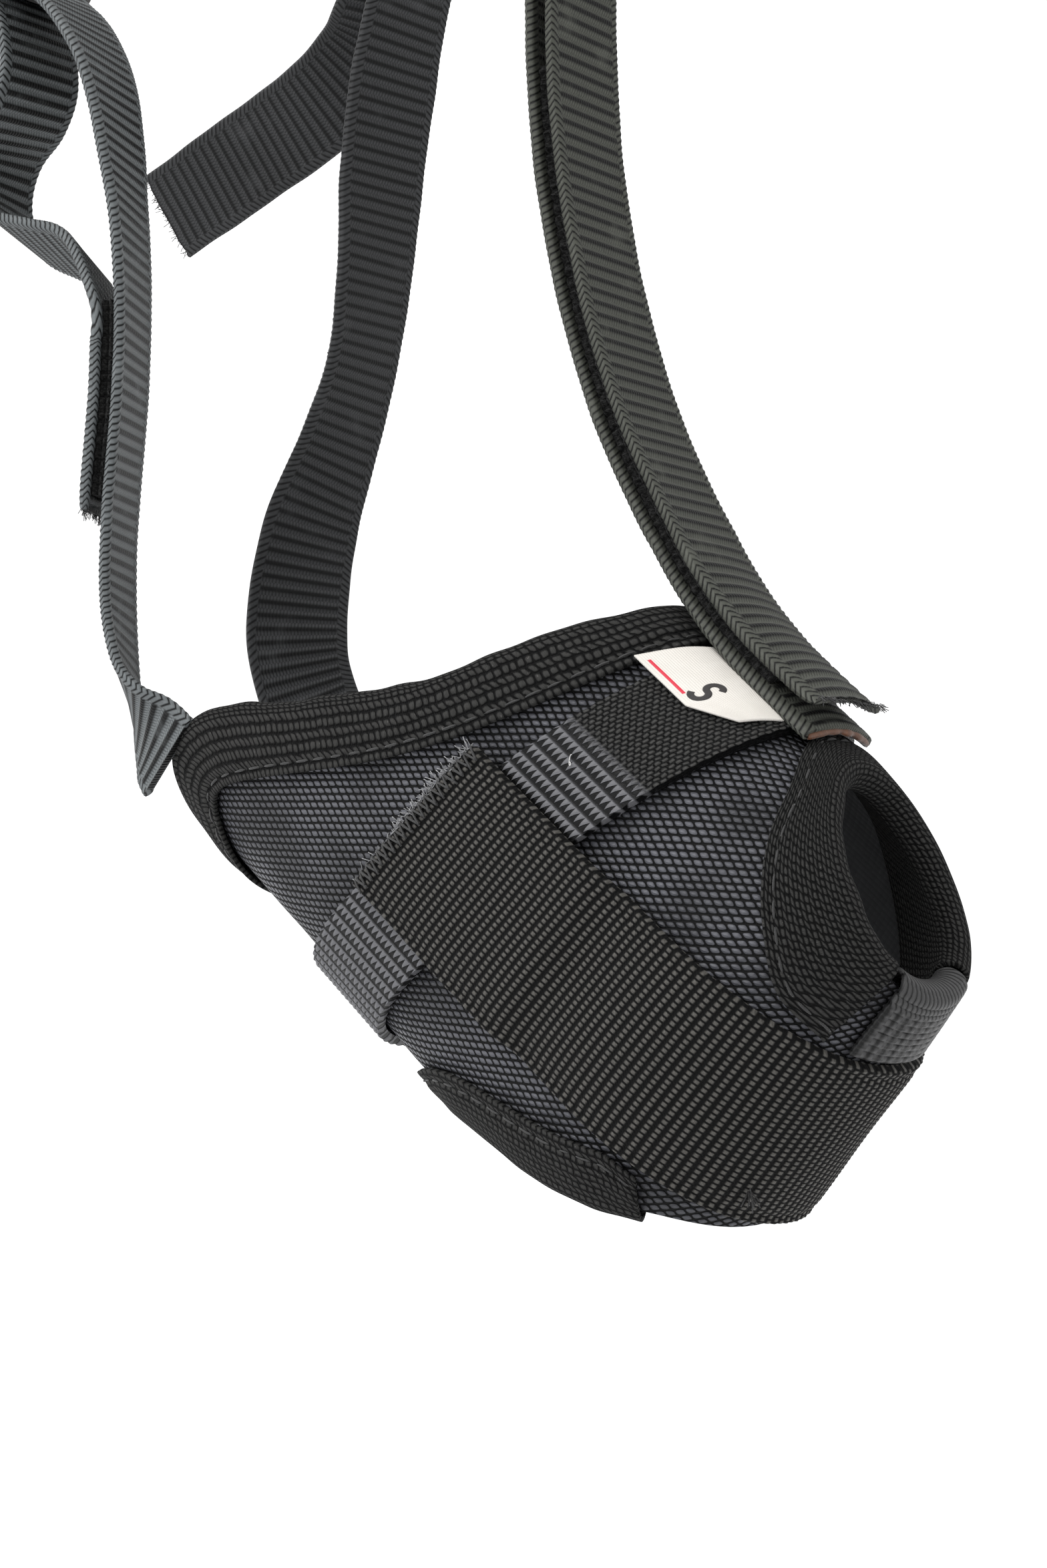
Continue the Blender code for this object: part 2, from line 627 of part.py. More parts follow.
def make_right_strap():
    joint = joint_empty("right_swing_axis", Vector(RIGHT_ROUTE[0][:3]) * MM)
    route = RIGHT_ROUTE + bar_wrap(FEMALE_BAR, FEMALE_AXIS, FEMALE_UP, 90, -90)
    frames = route_frames(route, CHEEK_SPACING)
    ribbon("right_cheek_strap", frames, STRAP_WIDTH, STRAP_THICKNESS, "strap_webbing", joint)

    shared = part_of(frames, RIGHT_SHARED)
    beside = tuple(values[::-1] for values in (shared[0] - shared[2] * TAIL_LIFT, shared[1], shared[2]))
    join = [tuple(p / MM) + (RIGHT_JOIN_ROLL,) for p in beside[0][:2]]
    loose = route_frames(RIGHT_TAIL_LOOSE + join, TAIL_SPACING)
    last = int(np.argmin(np.linalg.norm(loose[0] - beside[0][0], axis=1)))
    tail = (
        np.vstack([loose[0][:last - 1], beside[0]]), np.vstack([loose[1][:last - 1], beside[1]]),
        np.vstack([loose[2][:last - 1], -beside[2]]),
    )
    tail_joint = joint_empty("right_peel_axis", Vector(RIGHT_TAIL_LOOSE[0][:3]) * MM, joint)
    ribbon("right_cheek_tail", tail, STRAP_WIDTH, STRAP_THICKNESS, "strap_webbing", tail_joint)
    ends = part_of(shared, slice(1, len(shared[0]) - 1))
    for name, lift, item_joint in (("hook", HOOK_LIFT, joint), ("loop", LOOP_LIFT, tail_joint)):
        ribbon(f"right_{name}_strip", ends, HOOK_LOOP_WIDTH, HOOK_LOOP_THICKNESS, "hook_and_loop",
               item_joint, lift=-lift)
    return joint


def make_left_strap():
    joint = joint_empty("left_swing_axis", Vector(LEFT_ROUTE[0][:3]) * MM)
    route = LEFT_ROUTE + bar_wrap(MALE_BAR, MALE_AXIS, MALE_UP, 90, -90)
    frames = route_frames(route, CHEEK_SPACING)
    ribbon("left_cheek_strap", frames, STRAP_WIDTH, STRAP_THICKNESS, "strap_webbing", joint)
    ribbon("left_hook_strip", part_of(frames, LEFT_HOOK), HOOK_LOOP_WIDTH, HOOK_LOOP_THICKNESS,
           "hook_and_loop", joint, lift=-HOOK_LIFT)
    tail_joint = joint_empty("left_peel_axis", Vector(LEFT_TAIL_ROUTE[0][:3]) * MM, joint)
    tail = route_frames(LEFT_TAIL_ROUTE, TAIL_SPACING)
    ribbon("left_cheek_tail", tail, STRAP_WIDTH, STRAP_THICKNESS, "strap_webbing", tail_joint)
    ribbon("left_loop_strip", part_of(tail, LEFT_LOOP), HOOK_LOOP_WIDTH, HOOK_LOOP_THICKNESS,
           "hook_and_loop", tail_joint, lift=HOOK_LIFT)
    return joint


# ---------------------------------------------------------------- buckle

def box_mesh(name, low, high):
    mesh = bpy.data.meshes.new(name)
    work = bmesh.new()
    bmesh.ops.create_cube(work, size=1.0)
    size = Vector(high) - Vector(low)
    bmesh.ops.scale(work, vec=size, verts=work.verts)
    bmesh.ops.translate(work, vec=(Vector(high) + Vector(low)) / 2, verts=work.verts)
    work.to_mesh(mesh)
    work.free()
    return mesh


def cut_box(item, name, low, high):
    cutter = bpy.data.objects.new(name, box_mesh(name, low, high))
    CUTTERS.objects.link(cutter)
    cutter.parent = item
    cutter.hide_render = True
    cutter.display_type = "WIRE"
    boolean = item.modifiers.new(name, "BOOLEAN")
    boolean.operation = "DIFFERENCE"
    boolean.object = cutter


def bevel(item, width, segments=2):
    rounding = item.modifiers.new("rounding", "BEVEL")
    rounding.width = width
    rounding.segments = segments
    rounding.limit_method = "ANGLE"
    rounding.angle_limit = math.radians(40)


def buckle_frame(name, bar, axis, up, parent):
    """Empty on the buckle's bar: local X along the buckle, local Z up, local Y along the bar."""
    empty = bpy.data.objects.new(name, None)
    PARTS.objects.link(empty)
    side = up.cross(axis)
    world = Matrix((axis, side, up)).transposed().to_4x4()
    world.translation = bar
    empty.parent = parent
    empty.matrix_parent_inverse = parent.matrix_world.inverted()
    empty.matrix_basis = world
    bpy.context.view_layer.update()
    return empty


def local_object(name, mesh, frame):
    item = bpy.data.objects.new(name, mesh)
    PARTS.objects.link(item)
    item.parent = frame
    mesh.materials.append(MATERIALS["buckle_plastic"])
    return item


def free_the_bar(item):
    """Slot for the strap, and the space above, below and behind the bar."""
    wide, far, behind = SLOT_HALF_WIDTH, SLOT_FAR_X, 5 * MM
    cut_box(item, item.name + "_slot", (BAR_HALF, -wide, -CUT_REACH), (far, wide, CUT_REACH))
    cut_box(item, item.name + "_above", (-behind, -wide, BAR_HALF), (far, wide, CUT_REACH))
    cut_box(item, item.name + "_below", (-behind, -wide, -CUT_REACH), (far, wide, -BAR_HALF))
    cut_box(item, item.name + "_behind", (-behind, -wide, -CUT_REACH), (-BAR_HALF, wide, CUT_REACH))


def make_female(parent):
    frame = buckle_frame("female_tilt_axis", FEMALE_BAR, FEMALE_AXIS, FEMALE_UP, parent)
    half_width, half_height = BUCKLE_WIDTH / 2, BUCKLE_THICKNESS / 2
    low, high = (BUCKLE_END, -half_width, -half_height), (FEMALE_LENGTH, half_width, half_height)
    item = local_object("buckle_female", box_mesh("buckle_female", low, high), frame)
    bevel(item, FEMALE_ROUNDING)
    free_the_bar(item)
    mouth = FEMALE_LENGTH - CAVITY_DEPTH
    cut_box(item, "mouth", (mouth, -CAVITY_HALF_WIDTH, -CAVITY_HALF_HEIGHT),
            (FEMALE_LENGTH + 5 * MM, CAVITY_HALF_WIDTH, CAVITY_HALF_HEIGHT))
    cut_box(item, "side_windows", (mouth + 3 * MM, -BUCKLE_WIDTH, -CAVITY_HALF_HEIGHT),
            (FEMALE_LENGTH - 5 * MM, BUCKLE_WIDTH, CAVITY_HALF_HEIGHT))


def prism(name, outline, half_height, frame):
    mesh = bpy.data.meshes.new(name)
    work = bmesh.new()
    face = work.faces.new([work.verts.new((x, y, -half_height)) for x, y in outline])
    made = bmesh.ops.extrude_face_region(work, geom=[face])
    moved = [v for v in made["geom"] if isinstance(v, bmesh.types.BMVert)]
    bmesh.ops.translate(work, vec=(0, 0, 2 * half_height), verts=moved)
    bmesh.ops.recalc_face_normals(work, faces=work.faces)
    work.to_mesh(mesh)
    work.free()
    return local_object(name, mesh, frame)


def make_male(parent):
    frame = buckle_frame("male_tilt_axis", MALE_BAR, MALE_AXIS, MALE_UP, parent)
    half_width, half_guide, corner = BUCKLE_WIDTH / 2, GUIDE_HALF_WIDTH, MALE_CORNER
    base, guide_end = MALE_BASE_LENGTH, MALE_BASE_LENGTH + PRONG_LENGTH - GUIDE_SHORTER_BY
    half_outline = [
        (BUCKLE_END, half_width - corner), (BUCKLE_END + corner, half_width), (base, half_width),
        (base, half_guide + GUIDE_ROOT), (base + GUIDE_ROOT, half_guide), (guide_end, half_guide),
    ]
    outline = half_outline + [(guide_end + half_guide, 0)] + [(x, -y) for x, y in half_outline[::-1]]
    body = prism("buckle_male", outline, MALE_THICKNESS / 2, frame)
    bevel(body, 0.5 * MM, 1)
    free_the_bar(body)
    for side, name in ((-1, "left"), (1, "right")):
        make_prong(frame, side, name)


def make_prong(frame, side, name):
    axis = bpy.data.objects.new(f"prong_{name}_axis", None)
    PARTS.objects.link(axis)
    axis.parent = frame
    axis.location = (MALE_BASE_LENGTH, side * PRONG_AXIS_Y, 0)
    outline = [(PRONG_GAP + x * MM, side * (PRONG_INNER_Y + y * MM - PRONG_AXIS_Y)) for x, y in PRONG_OUTLINE]
    prong = prism(f"prong_{name}", outline, PRONG_HALF_THICKNESS, axis)
    bevel(prong, 0.4 * MM, 1)


def build_all():
    body_sheet("outer_shell", 0.0, SHELL_THICKNESS, "shell_nylon")
    body_sheet("inner_lining", LINING_LIFT, LINING_THICKNESS, "lining_cloth")
    make_rear_binding()
    make_nose_binding()
    make_throat_binding()
    make_chin_band()
    make_girth_strap()
    make_lip_strip()
    make_label()
    make_forehead()
    make_female(make_right_strap())
    make_male(make_left_strap())


clear_scene()
PARTS = new_collection("sleeve_muzzle")
CUTTERS = new_collection("cutters")
MATERIALS = make_materials()
build_all()
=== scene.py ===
"""Looks of the soft nylon sleeve muzzle: woven sleeve, bindings, webbing straps and an open side release buckle.

Metres in the scene, millimetres in the weave coordinates. +X points to the nose, +Y to the dog's left, +Z up.
"""
import math

import bmesh
import bpy
import numpy as np
from mathutils import Matrix, Vector


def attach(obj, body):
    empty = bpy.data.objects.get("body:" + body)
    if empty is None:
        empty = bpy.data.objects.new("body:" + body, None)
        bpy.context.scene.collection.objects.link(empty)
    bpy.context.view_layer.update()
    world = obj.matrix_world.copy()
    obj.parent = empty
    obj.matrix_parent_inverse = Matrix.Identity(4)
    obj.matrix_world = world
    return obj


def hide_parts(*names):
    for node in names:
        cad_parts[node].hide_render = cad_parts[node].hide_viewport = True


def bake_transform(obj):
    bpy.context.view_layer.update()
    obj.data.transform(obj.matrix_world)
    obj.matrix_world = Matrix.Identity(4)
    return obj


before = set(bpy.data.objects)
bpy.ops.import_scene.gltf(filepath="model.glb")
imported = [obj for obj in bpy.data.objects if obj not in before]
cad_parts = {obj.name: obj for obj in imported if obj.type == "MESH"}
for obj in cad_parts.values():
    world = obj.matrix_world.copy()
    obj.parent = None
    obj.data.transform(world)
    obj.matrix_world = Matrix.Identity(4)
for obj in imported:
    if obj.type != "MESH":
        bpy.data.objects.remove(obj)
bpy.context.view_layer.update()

MM = 0.001
DETAIL = 1

# Camera
AZIMUTH, ELEVATION, ROLL = 33.0, 20.0, 33.0
CAMERA_PLACE = Vector((173.7, -286.2, 127.4)) * MM
LENS, SENSOR = 63.3, 36.0

# Sleeve, as in the frame
HALF_WIDTH = 20.0 * MM
CROWN_Z = 35.5 * MM
KEEL_Z = -32.0 * MM
MIDDLE_Z = 3.0 * MM
CROWN_POWER = 2.2
KEEL_POWER = 2.8
FRONT_START_X = 28.0 * MM
FRONT_TIP_X = 52.0 * MM
FRONT_POWER = 2.2
REAR_LIMIT_X = -60.0 * MM
REAR_RIM = [
    (0, -4.5), (9, -5.5), (22, -11.5), (35, -19.5), (48, -33), (63, -49), (69, -51), (75, -48), (80, -42.5),
    (84, -38), (88, -36.5),
]
THROAT_EDGE = [(-32, 11), (-29.5, 14), (-23.5, 33), (-18, 45.5), (-14.4, 52)]
HOLE_TOP_X = 26.5 * MM
LIP_Z = 21.0 * MM
NOSE_BINDING_EDGE = [
    (35.5, 21.2), (34.4, 23), (31.4, 27), (27.2, 30.2), (23.5, 33.4), (18.4, 38.6), (14.3, 43.4), (12.4, 48.5),
]
NOSE_BINDING_END_X = 49.5 * MM
REAR_BINDING_WIDTH = 8.0 * MM
THROAT_BINDING_WIDTH = 6.5 * MM
TAPE_OUTER_LIFT = 1.25 * MM
TAPE_INNER_LIFT = -2.35 * MM
TAPE_FOLD = 1.6 * MM
TAPE_THICKNESS = 0.6 * MM
CROWDING = 1.7
BAND_TOP_Z, BAND_BOTTOM_Z = 11.5 * MM, -13.5 * MM
BAND_LIFT, BAND_STEP, BAND_THICKNESS = 1.4 * MM, 1.5 * MM, 1.0 * MM
BAND_END_X, BAND_END_SLANT = -8.7 * MM, 0.18
GIRTH_LIFT = 1.4 * MM
GIRTH_CROWN_X, GIRTH_KEEL_X = 13.0 * MM, -10.0 * MM
LABEL_LIFT = 2.55 * MM
LABEL_LENGTH, LABEL_SHOWN = 15.6 * MM, 5.2 * MM
LABEL_TUCK = 0.95

# Direction of the shell cloth's rows from the sleeve's axis, in degrees
SHELL_GRAIN = 38.0

# Webbing
STRAP_WIDTH, STRAP_THICKNESS = 15.0 * MM, 1.2 * MM
HOOK_LOOP_WIDTH = 12.5 * MM
PILE_INNER_LIFT, PILE_OUTER_LIFT = 0.62 * MM, 1.62 * MM  # from the centreline of the webbing it is sewn to
TAIL_LIFT = 3.3 * MM
RIB_PITCH, RIB_HEIGHT = 1.8 * MM, 0.3 * MM
SELVEDGE = 1.5 * MM
STITCH_PITCH = 3.1 * MM
STITCH_LENGTH = 2.3 * MM
WRAP_RADIUS = 2.1 * MM
FEMALE_BAR = Vector((-148.0, -18.6, 43.5)) * MM
FEMALE_AXIS, FEMALE_UP = Vector((-1.0, 0.0, 0.0)), Vector((0.0, 0.0, 1.0))
MALE_BAR = Vector((-123.0, 18.6, 85.0)) * MM
MALE_AXIS = Vector((-0.614, 0.0, 0.789)).normalized()
MALE_UP = Vector((0.789, 0.0, 0.614)).normalized()

WRAP_END = 1.1 * MM
ROOT_DEPTH = 3.2 * MM
SHARED_START, SHARED_END = 35.2 * MM, 65.6 * MM
LEFT_HOOK_START, LEFT_HOOK_END = 51.2 * MM, 88.0 * MM
LEFT_LOOP_START = 25.0 * MM

# Strap centrelines, from the sleeve outwards: x, y, z in millimetres and roll about the line in degrees.
FOREHEAD_ROUTE = [
    (22.5, 0, 38.4, 0), (12, 0, 38.5, 0), (2, 0, 39.1, 0), (-8, 0, 41.0, 0), (-18, 0, 44.4, 0), (-29, 0, 49.2, 0),
    (-41, 0, 56.2, 0), (-53, 0, 65.0, 0), (-64, 0, 74.8, 0), (-76, 0, 88.0, 0), (-87, 0, 101.6, 0),
]
FOREHEAD_LOOP = [(4, -1.4), (9, -2.9), (14, -2.3), (16.6, 1.65), (14, 5.6), (9, 6.2), (4, 4.7), (0.9, 3.4)]
RIGHT_ROUTE = [
    (-54.2, -18.6, -23.5, -75), (-59, -18.8, -22.9, -52), (-65, -18.5, -20.5, -36), (-73, -18, -14.5, -30),
    (-81, -18, -5, -30), (-91, -18, 9.5, -30), (-99, -18, 19.5, -29), (-106, -18.2, 27, -27),
    (-112.5, -18.3, 32.6, -23), (-119, -18.4, 38, -18), (-126, -18.6, 42.6, -12), (-135, -18.6, 45.4, -5),
    (-143, -18.6, 45.7, 0),
]
RIGHT_ROOT = [(-51.0, -18.5, -23.9, -82)]
RIGHT_TAIL_LOOSE = [
    (-146.1, -18.6, 41.4, 0), (-141.5, -18.6, 38.8, 0), (-137.2, -18.5, 34.5, 0), (-135.8, -18.3, 28.5, 2),
    (-136.8, -18, 22, 6), (-133.5, -18, 16.6, 12), (-126, -18, 15.0, 18), (-118, -18, 17.4, 23), (-111, -18, 19.4, 26),
]
LEFT_ROUTE = [
    (-53.6, 18.4, -22.4, 86), (-58, 17.8, -21.6, 78), (-63.5, 16.2, -18.6, 66), (-68.6, 14.6, -13.6, 54),
    (-73.4, 14.2, -6.6, 40), (-78.4, 15, 2, 23), (-83, 17, 12, 8), (-88, 18, 24, 0), (-95, 18, 36, 4),
    (-103, 18.2, 47, 12), (-110, 18.4, 58, 16), (-115.8, 18.6, 69, 10), (-119.2, 18.6, 78.5, 3),
]
LEFT_ROOT = [(-50.5, 18.7, -22.9, 88)]
LEFT_TAIL_ROUTE = [
    (-123.4, 18.6, 82.0, 0), (-122.6, 19.2, 76, -6), (-122.8, 21.5, 67, -26), (-124.8, 25, 58.5, -46),
    (-130, 26.4, 46.5, -60), (-138.6, 27, 32.3, -66), (-147.6, 27, 17.0, -67),
]

# Set
LOOK_AT = Vector((0.0, 0.0, 0.0))
FLOOR_Z = -0.16


# ---------------------------------------------------------------- curves and the sleeve's surface

def smooth_through(knots, at):
    """Values of a smooth curve through (position, value) knots, by Hermite pieces with limited slopes."""
    xs, ys = (np.array(column, float) for column in zip(*knots))
    steps = np.diff(ys) / np.diff(xs)
    slopes = np.zeros(len(xs))
    for i in range(1, len(xs) - 1):
        if steps[i - 1] * steps[i] > 0:
            slopes[i] = 2 * steps[i - 1] * steps[i] / (steps[i - 1] + steps[i])
    at = np.clip(np.asarray(at, float), xs[0], xs[-1])
    i = np.clip(np.searchsorted(xs, at) - 1, 0, len(xs) - 2)
    h = xs[i + 1] - xs[i]
    t = (at - xs[i]) / h
    return ((1 + 2 * t) * (1 - t) ** 2 * ys[i] + t * (1 - t) ** 2 * h * slopes[i]
            + t * t * (3 - 2 * t) * ys[i + 1] + t * t * (t - 1) * h * slopes[i + 1])


def smooth_path(points, spacing):
    """Points of a Catmull-Rom curve through the given ones, resampled to an even spacing."""
    p = np.array(points, float)
    p = np.vstack([2 * p[0] - p[1], p, 2 * p[-1] - p[-2]])
    dense = []
    for i in range(1, len(p) - 2):
        for t in np.linspace(0, 1, 24, endpoint=False):
            dense.append(0.5 * (2 * p[i] + (p[i + 1] - p[i - 1]) * t
                                + (2 * p[i - 1] - 5 * p[i] + 4 * p[i + 1] - p[i + 2]) * t * t
                                + (3 * p[i] - p[i - 1] - 3 * p[i + 1] + p[i + 2]) * t ** 3))
    dense = np.array(dense + [p[-2]])
    along = np.concatenate([[0], np.cumsum(np.linalg.norm(np.diff(dense[:, :3], axis=0), axis=1))])
    stations = np.linspace(0, along[-1], max(2, round(along[-1] / spacing) + 1))
    path = np.stack([np.interp(stations, along, dense[:, k]) for k in range(p.shape[1])], 1)
    soft = path.copy()
    for _ in range(max(1, round((1.2 * MM / spacing) ** 2))):
        soft[1:-1] = (soft[:-2] + 2 * soft[1:-1] + soft[2:]) / 4
    return soft


def section_table():
    angle = np.linspace(0, math.pi, 2881)
    power = np.where(angle <= math.pi / 2, CROWN_POWER, KEEL_POWER)
    rise = np.where(angle <= math.pi / 2, CROWN_Z - MIDDLE_Z, MIDDLE_Z - KEEL_Z)
    out = HALF_WIDTH * np.abs(np.sin(angle)) ** (2 / power)
    height = MIDDLE_Z + rise * np.sign(np.cos(angle)) * np.abs(np.cos(angle)) ** (2 / power)
    arc = np.concatenate([[0], np.cumsum(np.hypot(np.diff(out), np.diff(height)))])
    return arc, out, height


def plan_table():
    angle = np.linspace(0, math.pi / 2, 1441)
    x = FRONT_START_X + (FRONT_TIP_X - FRONT_START_X) * np.sin(angle) ** (2 / FRONT_POWER)
    ratio = np.cos(angle) ** (2 / FRONT_POWER)
    x = np.concatenate([[REAR_LIMIT_X], x])
    ratio = np.concatenate([[1.0], ratio])
    arc = np.concatenate([[0], np.cumsum(np.hypot(np.diff(x), np.diff(ratio) * HALF_WIDTH))])
    return arc, x, ratio


SECTION_ARC, SECTION_OUT, SECTION_HEIGHT = section_table()
PLAN_ARC, PLAN_X, PLAN_RATIO = plan_table()
HALF_GIRTH = SECTION_ARC[-1]
TIP_ARC = PLAN_ARC[-1]


def arc_of_x(x):
    return np.interp(x, PLAN_X, PLAN_ARC)


def x_of_arc(arc):
    return np.interp(arc, PLAN_ARC, PLAN_X)


def round_of_height(height):
    return np.interp(-np.asarray(height, float), -SECTION_HEIGHT, SECTION_ARC)


def height_of_round(around):
    return np.interp(np.abs(around), SECTION_ARC, SECTION_HEIGHT)


def middle_points(along, around):
    side = np.where(around < 0, -1.0, 1.0)
    out = np.interp(np.abs(around), SECTION_ARC, SECTION_OUT)
    ratio = np.interp(along, PLAN_ARC, PLAN_RATIO)
    return np.stack([x_of_arc(along), side * ratio * out, height_of_round(around)], -1)


def sleeve_points(along, around, lift):
    """Points at a distance out from the sleeve's middle surface. around is negative on the right side."""
    along, around, lift = np.broadcast_arrays(np.asarray(along, float), around, lift)
    small = 0.05 * MM
    limit = HALF_GIRTH - 1e-7
    along = np.minimum(along, TIP_ARC)
    a0, a1 = along - small, np.minimum(along + small, TIP_ARC)
    r0, r1 = np.maximum(around - small, -limit), np.minimum(around + small, limit)
    d_along = middle_points(a1, around) - middle_points(a0, around)
    d_round = middle_points(a0, r1) - middle_points(a0, r0)
    normal = np.cross(d_along, d_round)
    length = np.linalg.norm(normal, axis=-1, keepdims=True)
    normal = np.where(length > 1e-15, normal / np.maximum(length, 1e-15), [1.0, 0, 0])
    normal = np.where((along >= TIP_ARC - 1e-6)[..., None], [1.0, 0, 0], normal)
    return middle_points(along, around) + lift[..., None] * normal


def rear_arc(around):
    return arc_of_x(smooth_through(REAR_RIM, np.abs(around) / MM) * MM)


def hole_x(height):
    return HOLE_TOP_X + (CROWN_Z - height) * (FRONT_TIP_X - HOLE_TOP_X) / (CROWN_Z - LIP_Z)


def hole_height(x):
    return CROWN_Z - (x - HOLE_TOP_X) * (CROWN_Z - LIP_Z) / (FRONT_TIP_X - HOLE_TOP_X)


def front_arc(around):
    height = height_of_round(around)
    below = smooth_through(THROAT_EDGE, height / MM) * MM
    return arc_of_x(np.minimum(np.where(height > LIP_Z, hole_x(height), below), FRONT_TIP_X))


# ---------------------------------------------------------------- meshes

def add_piece(name, points, weave, look, ring=False, tube=False, caps=False, turn=(0.0, 0.0)):
    """Mesh through a grid of points, with weave coordinates in millimetres.

    Rows follow the piece's length. ring joins the last row to the first, tube joins each row's last point to its
    first, and caps closes a tube's two ends. turn is the weave length once round a ring and once round a tube.
    """
    rows, columns = points.shape[:2]
    row, column = np.meshgrid(np.arange(rows - (not ring)), np.arange(columns - (not tube)), indexing="ij")
    corner_rows = np.stack([row, row, row + 1, row + 1], -1).reshape(-1, 4)
    corner_columns = np.stack([column, column + 1, column + 1, column], -1).reshape(-1, 4)
    faces = (corner_rows % rows * columns + corner_columns % columns).tolist()
    uv = weave[corner_rows % rows, corner_columns % columns]
    uv[..., 0] += turn[0] * (corner_rows // rows)
    uv[..., 1] += turn[1] * (corner_columns // columns)
    uv = uv.reshape(-1, 2)
    if caps:
        faces += [list(range(columns))[::-1], list(range((rows - 1) * columns, rows * columns))]
        uv = np.vstack([uv, weave[0, ::-1], weave[-1]])
    mesh = bpy.data.meshes.new(name)
    mesh.from_pydata(points.reshape(-1, 3).tolist(), [], faces)
    mesh.uv_layers.new(name="weave").data.foreach_set("uv", uv.ravel())
    work = bmesh.new()
    work.from_mesh(mesh)
    bmesh.ops.remove_doubles(work, verts=work.verts, dist=2e-6)
    bmesh.ops.recalc_face_normals(work, faces=work.faces)
    work.to_mesh(mesh)
    work.free()
    mesh.shade_smooth()
    mesh.set_sharp_from_angle(angle=math.radians(50))
    mesh.materials.append(LOOKS[look])
    piece = bpy.data.objects.new(name, mesh)
    bpy.context.scene.collection.objects.link(piece)
    return piece


def thicken(piece, thickness):
    solid = piece.modifiers.new("thickness", "SOLIDIFY")
    solid.thickness = thickness
    solid.offset = 0.0
    solid.use_even_offset = False


def ripple(a, b, size):
    """Soft uneven waves over a sheet, about one size long."""
    a, b = a / size, b / size
    return (np.sin(1.9 * a + 1.3 * np.sin(1.1 * b)) + np.sin(2.3 * b + 1.7 * np.sin(0.8 * a + 1.0))
            + 0.6 * np.sin(3.7 * a - 2.9 * b)) / 2.6


# ---------------------------------------------------------------- material patterns

class Field:
    """A number worked out by shader nodes, so that a pattern reads as arithmetic."""

    def __init__(self, tree, socket):
        self.tree = tree
        self.socket = socket

    def math(self, operation, *others):
        node = self.tree.nodes.new("ShaderNodeMath")
        node.operation = operation
        for slot, value in zip(node.inputs, (self, *others)):
            if isinstance(value, Field):
                self.tree.links.new(value.socket, slot)
            else:
                slot.default_value = value
        return Field(self.tree, node.outputs[0])

    def __add__(self, other):
        return self.math("ADD", other)

    def __sub__(self, other):
        return self.math("SUBTRACT", other)

    def __mul__(self, other):
        return self.math("MULTIPLY", other)

    def __truediv__(self, other):
        return self.math("DIVIDE", other)

    def __abs__(self):
        return self.math("ABSOLUTE")

    def __pow__(self, power):
        return self.math("POWER", power)

    def opposite(self):
        return self * -1.0 + 1.0

    def floor(self):
        return self.math("FLOOR")

    def fraction(self):
        return self.math("FRACT")

    def wave(self):
        """0 at whole numbers, 1 half way between."""
        return abs((self * math.pi).math("SINE"))

    def ramp(self, low, high):
        node = self.tree.nodes.new("ShaderNodeMapRange")
        node.interpolation_type = "SMOOTHSTEP"
        self.tree.links.new(self.socket, node.inputs["Value"])
        node.inputs["From Min"].default_value = low
        node.inputs["From Max"].default_value = high
        return Field(self.tree, node.outputs["Result"])


class Look:
    """A new Principled material with helpers for its patterns. u runs along a piece and v across it, in millimetres."""

    def __init__(self, name, roughness, sheen=0.0, specular=0.5):
        self.material = bpy.data.materials.new(name)
        self.material.use_nodes = True
        self.tree = self.material.node_tree
        self.shader = self.tree.nodes["Principled BSDF"]
        self.shader.inputs["Roughness"].default_value = roughness
        self.shader.inputs["Specular IOR Level"].default_value = specular
        self.shader.inputs["Sheen Weight"].default_value = sheen
        self.shader.inputs["Sheen Roughness"].default_value = 0.45

    def weave(self):
        node = self.tree.nodes.new("ShaderNodeUVMap")
        node.uv_map = "weave"
        self.vector = node.outputs[0]
        split = self.tree.nodes.new("ShaderNodeSeparateXYZ")
        self.tree.links.new(self.vector, split.inputs[0])
        return Field(self.tree, split.outputs[0]), Field(self.tree, split.outputs[1])

    def solid(self):
        """Pattern coordinates through the solid, in metres, for pieces with no weave coordinates."""
        node = self.tree.nodes.new("ShaderNodeTexCoord")
        self.vector = node.outputs["Object"]

    def noise(self, scale, detail=3.0, stretch=(1, 1, 1)):
        scaled = self.tree.nodes.new("ShaderNodeMapping")
        scaled.inputs["Scale"].default_value = stretch
        self.tree.links.new(self.vector, scaled.inputs["Vector"])
        node = self.tree.nodes.new("ShaderNodeTexNoise")
        node.inputs["Scale"].default_value = scale
        node.inputs["Detail"].default_value = detail
        self.tree.links.new(scaled.outputs[0], node.inputs["Vector"])
        return Field(self.tree, node.outputs["Fac"])

    def mix(self, amount, low, high):
        """Colour between two others. Each is a red, green, blue triple or another mix."""
        node = self.tree.nodes.new("ShaderNodeMix")
        node.data_type = "RGBA"
        self.tree.links.new(amount.socket, node.inputs["Factor"])
        for slot, colour in ((node.inputs[6], low), (node.inputs[7], high)):
            if isinstance(colour, tuple):
                slot.default_value = (*colour, 1)
            else:
                self.tree.links.new(colour, slot)
        return node.outputs[2]

    def paint(self, colour):
        self.tree.links.new(colour, self.shader.inputs["Base Color"])

    def roughen(self, amount, low, high):
        self.tree.links.new((amount * (high - low) + low).socket, self.shader.inputs["Roughness"])

    def bump(self, height, depth):
        node = self.tree.nodes.new("ShaderNodeBump")
        node.inputs["Strength"].default_value = 1.0
        node.inputs["Distance"].default_value = depth
        self.tree.links.new(height.socket, node.inputs["Height"])
        self.tree.links.new(node.outputs[0], self.shader.inputs["Normal"])


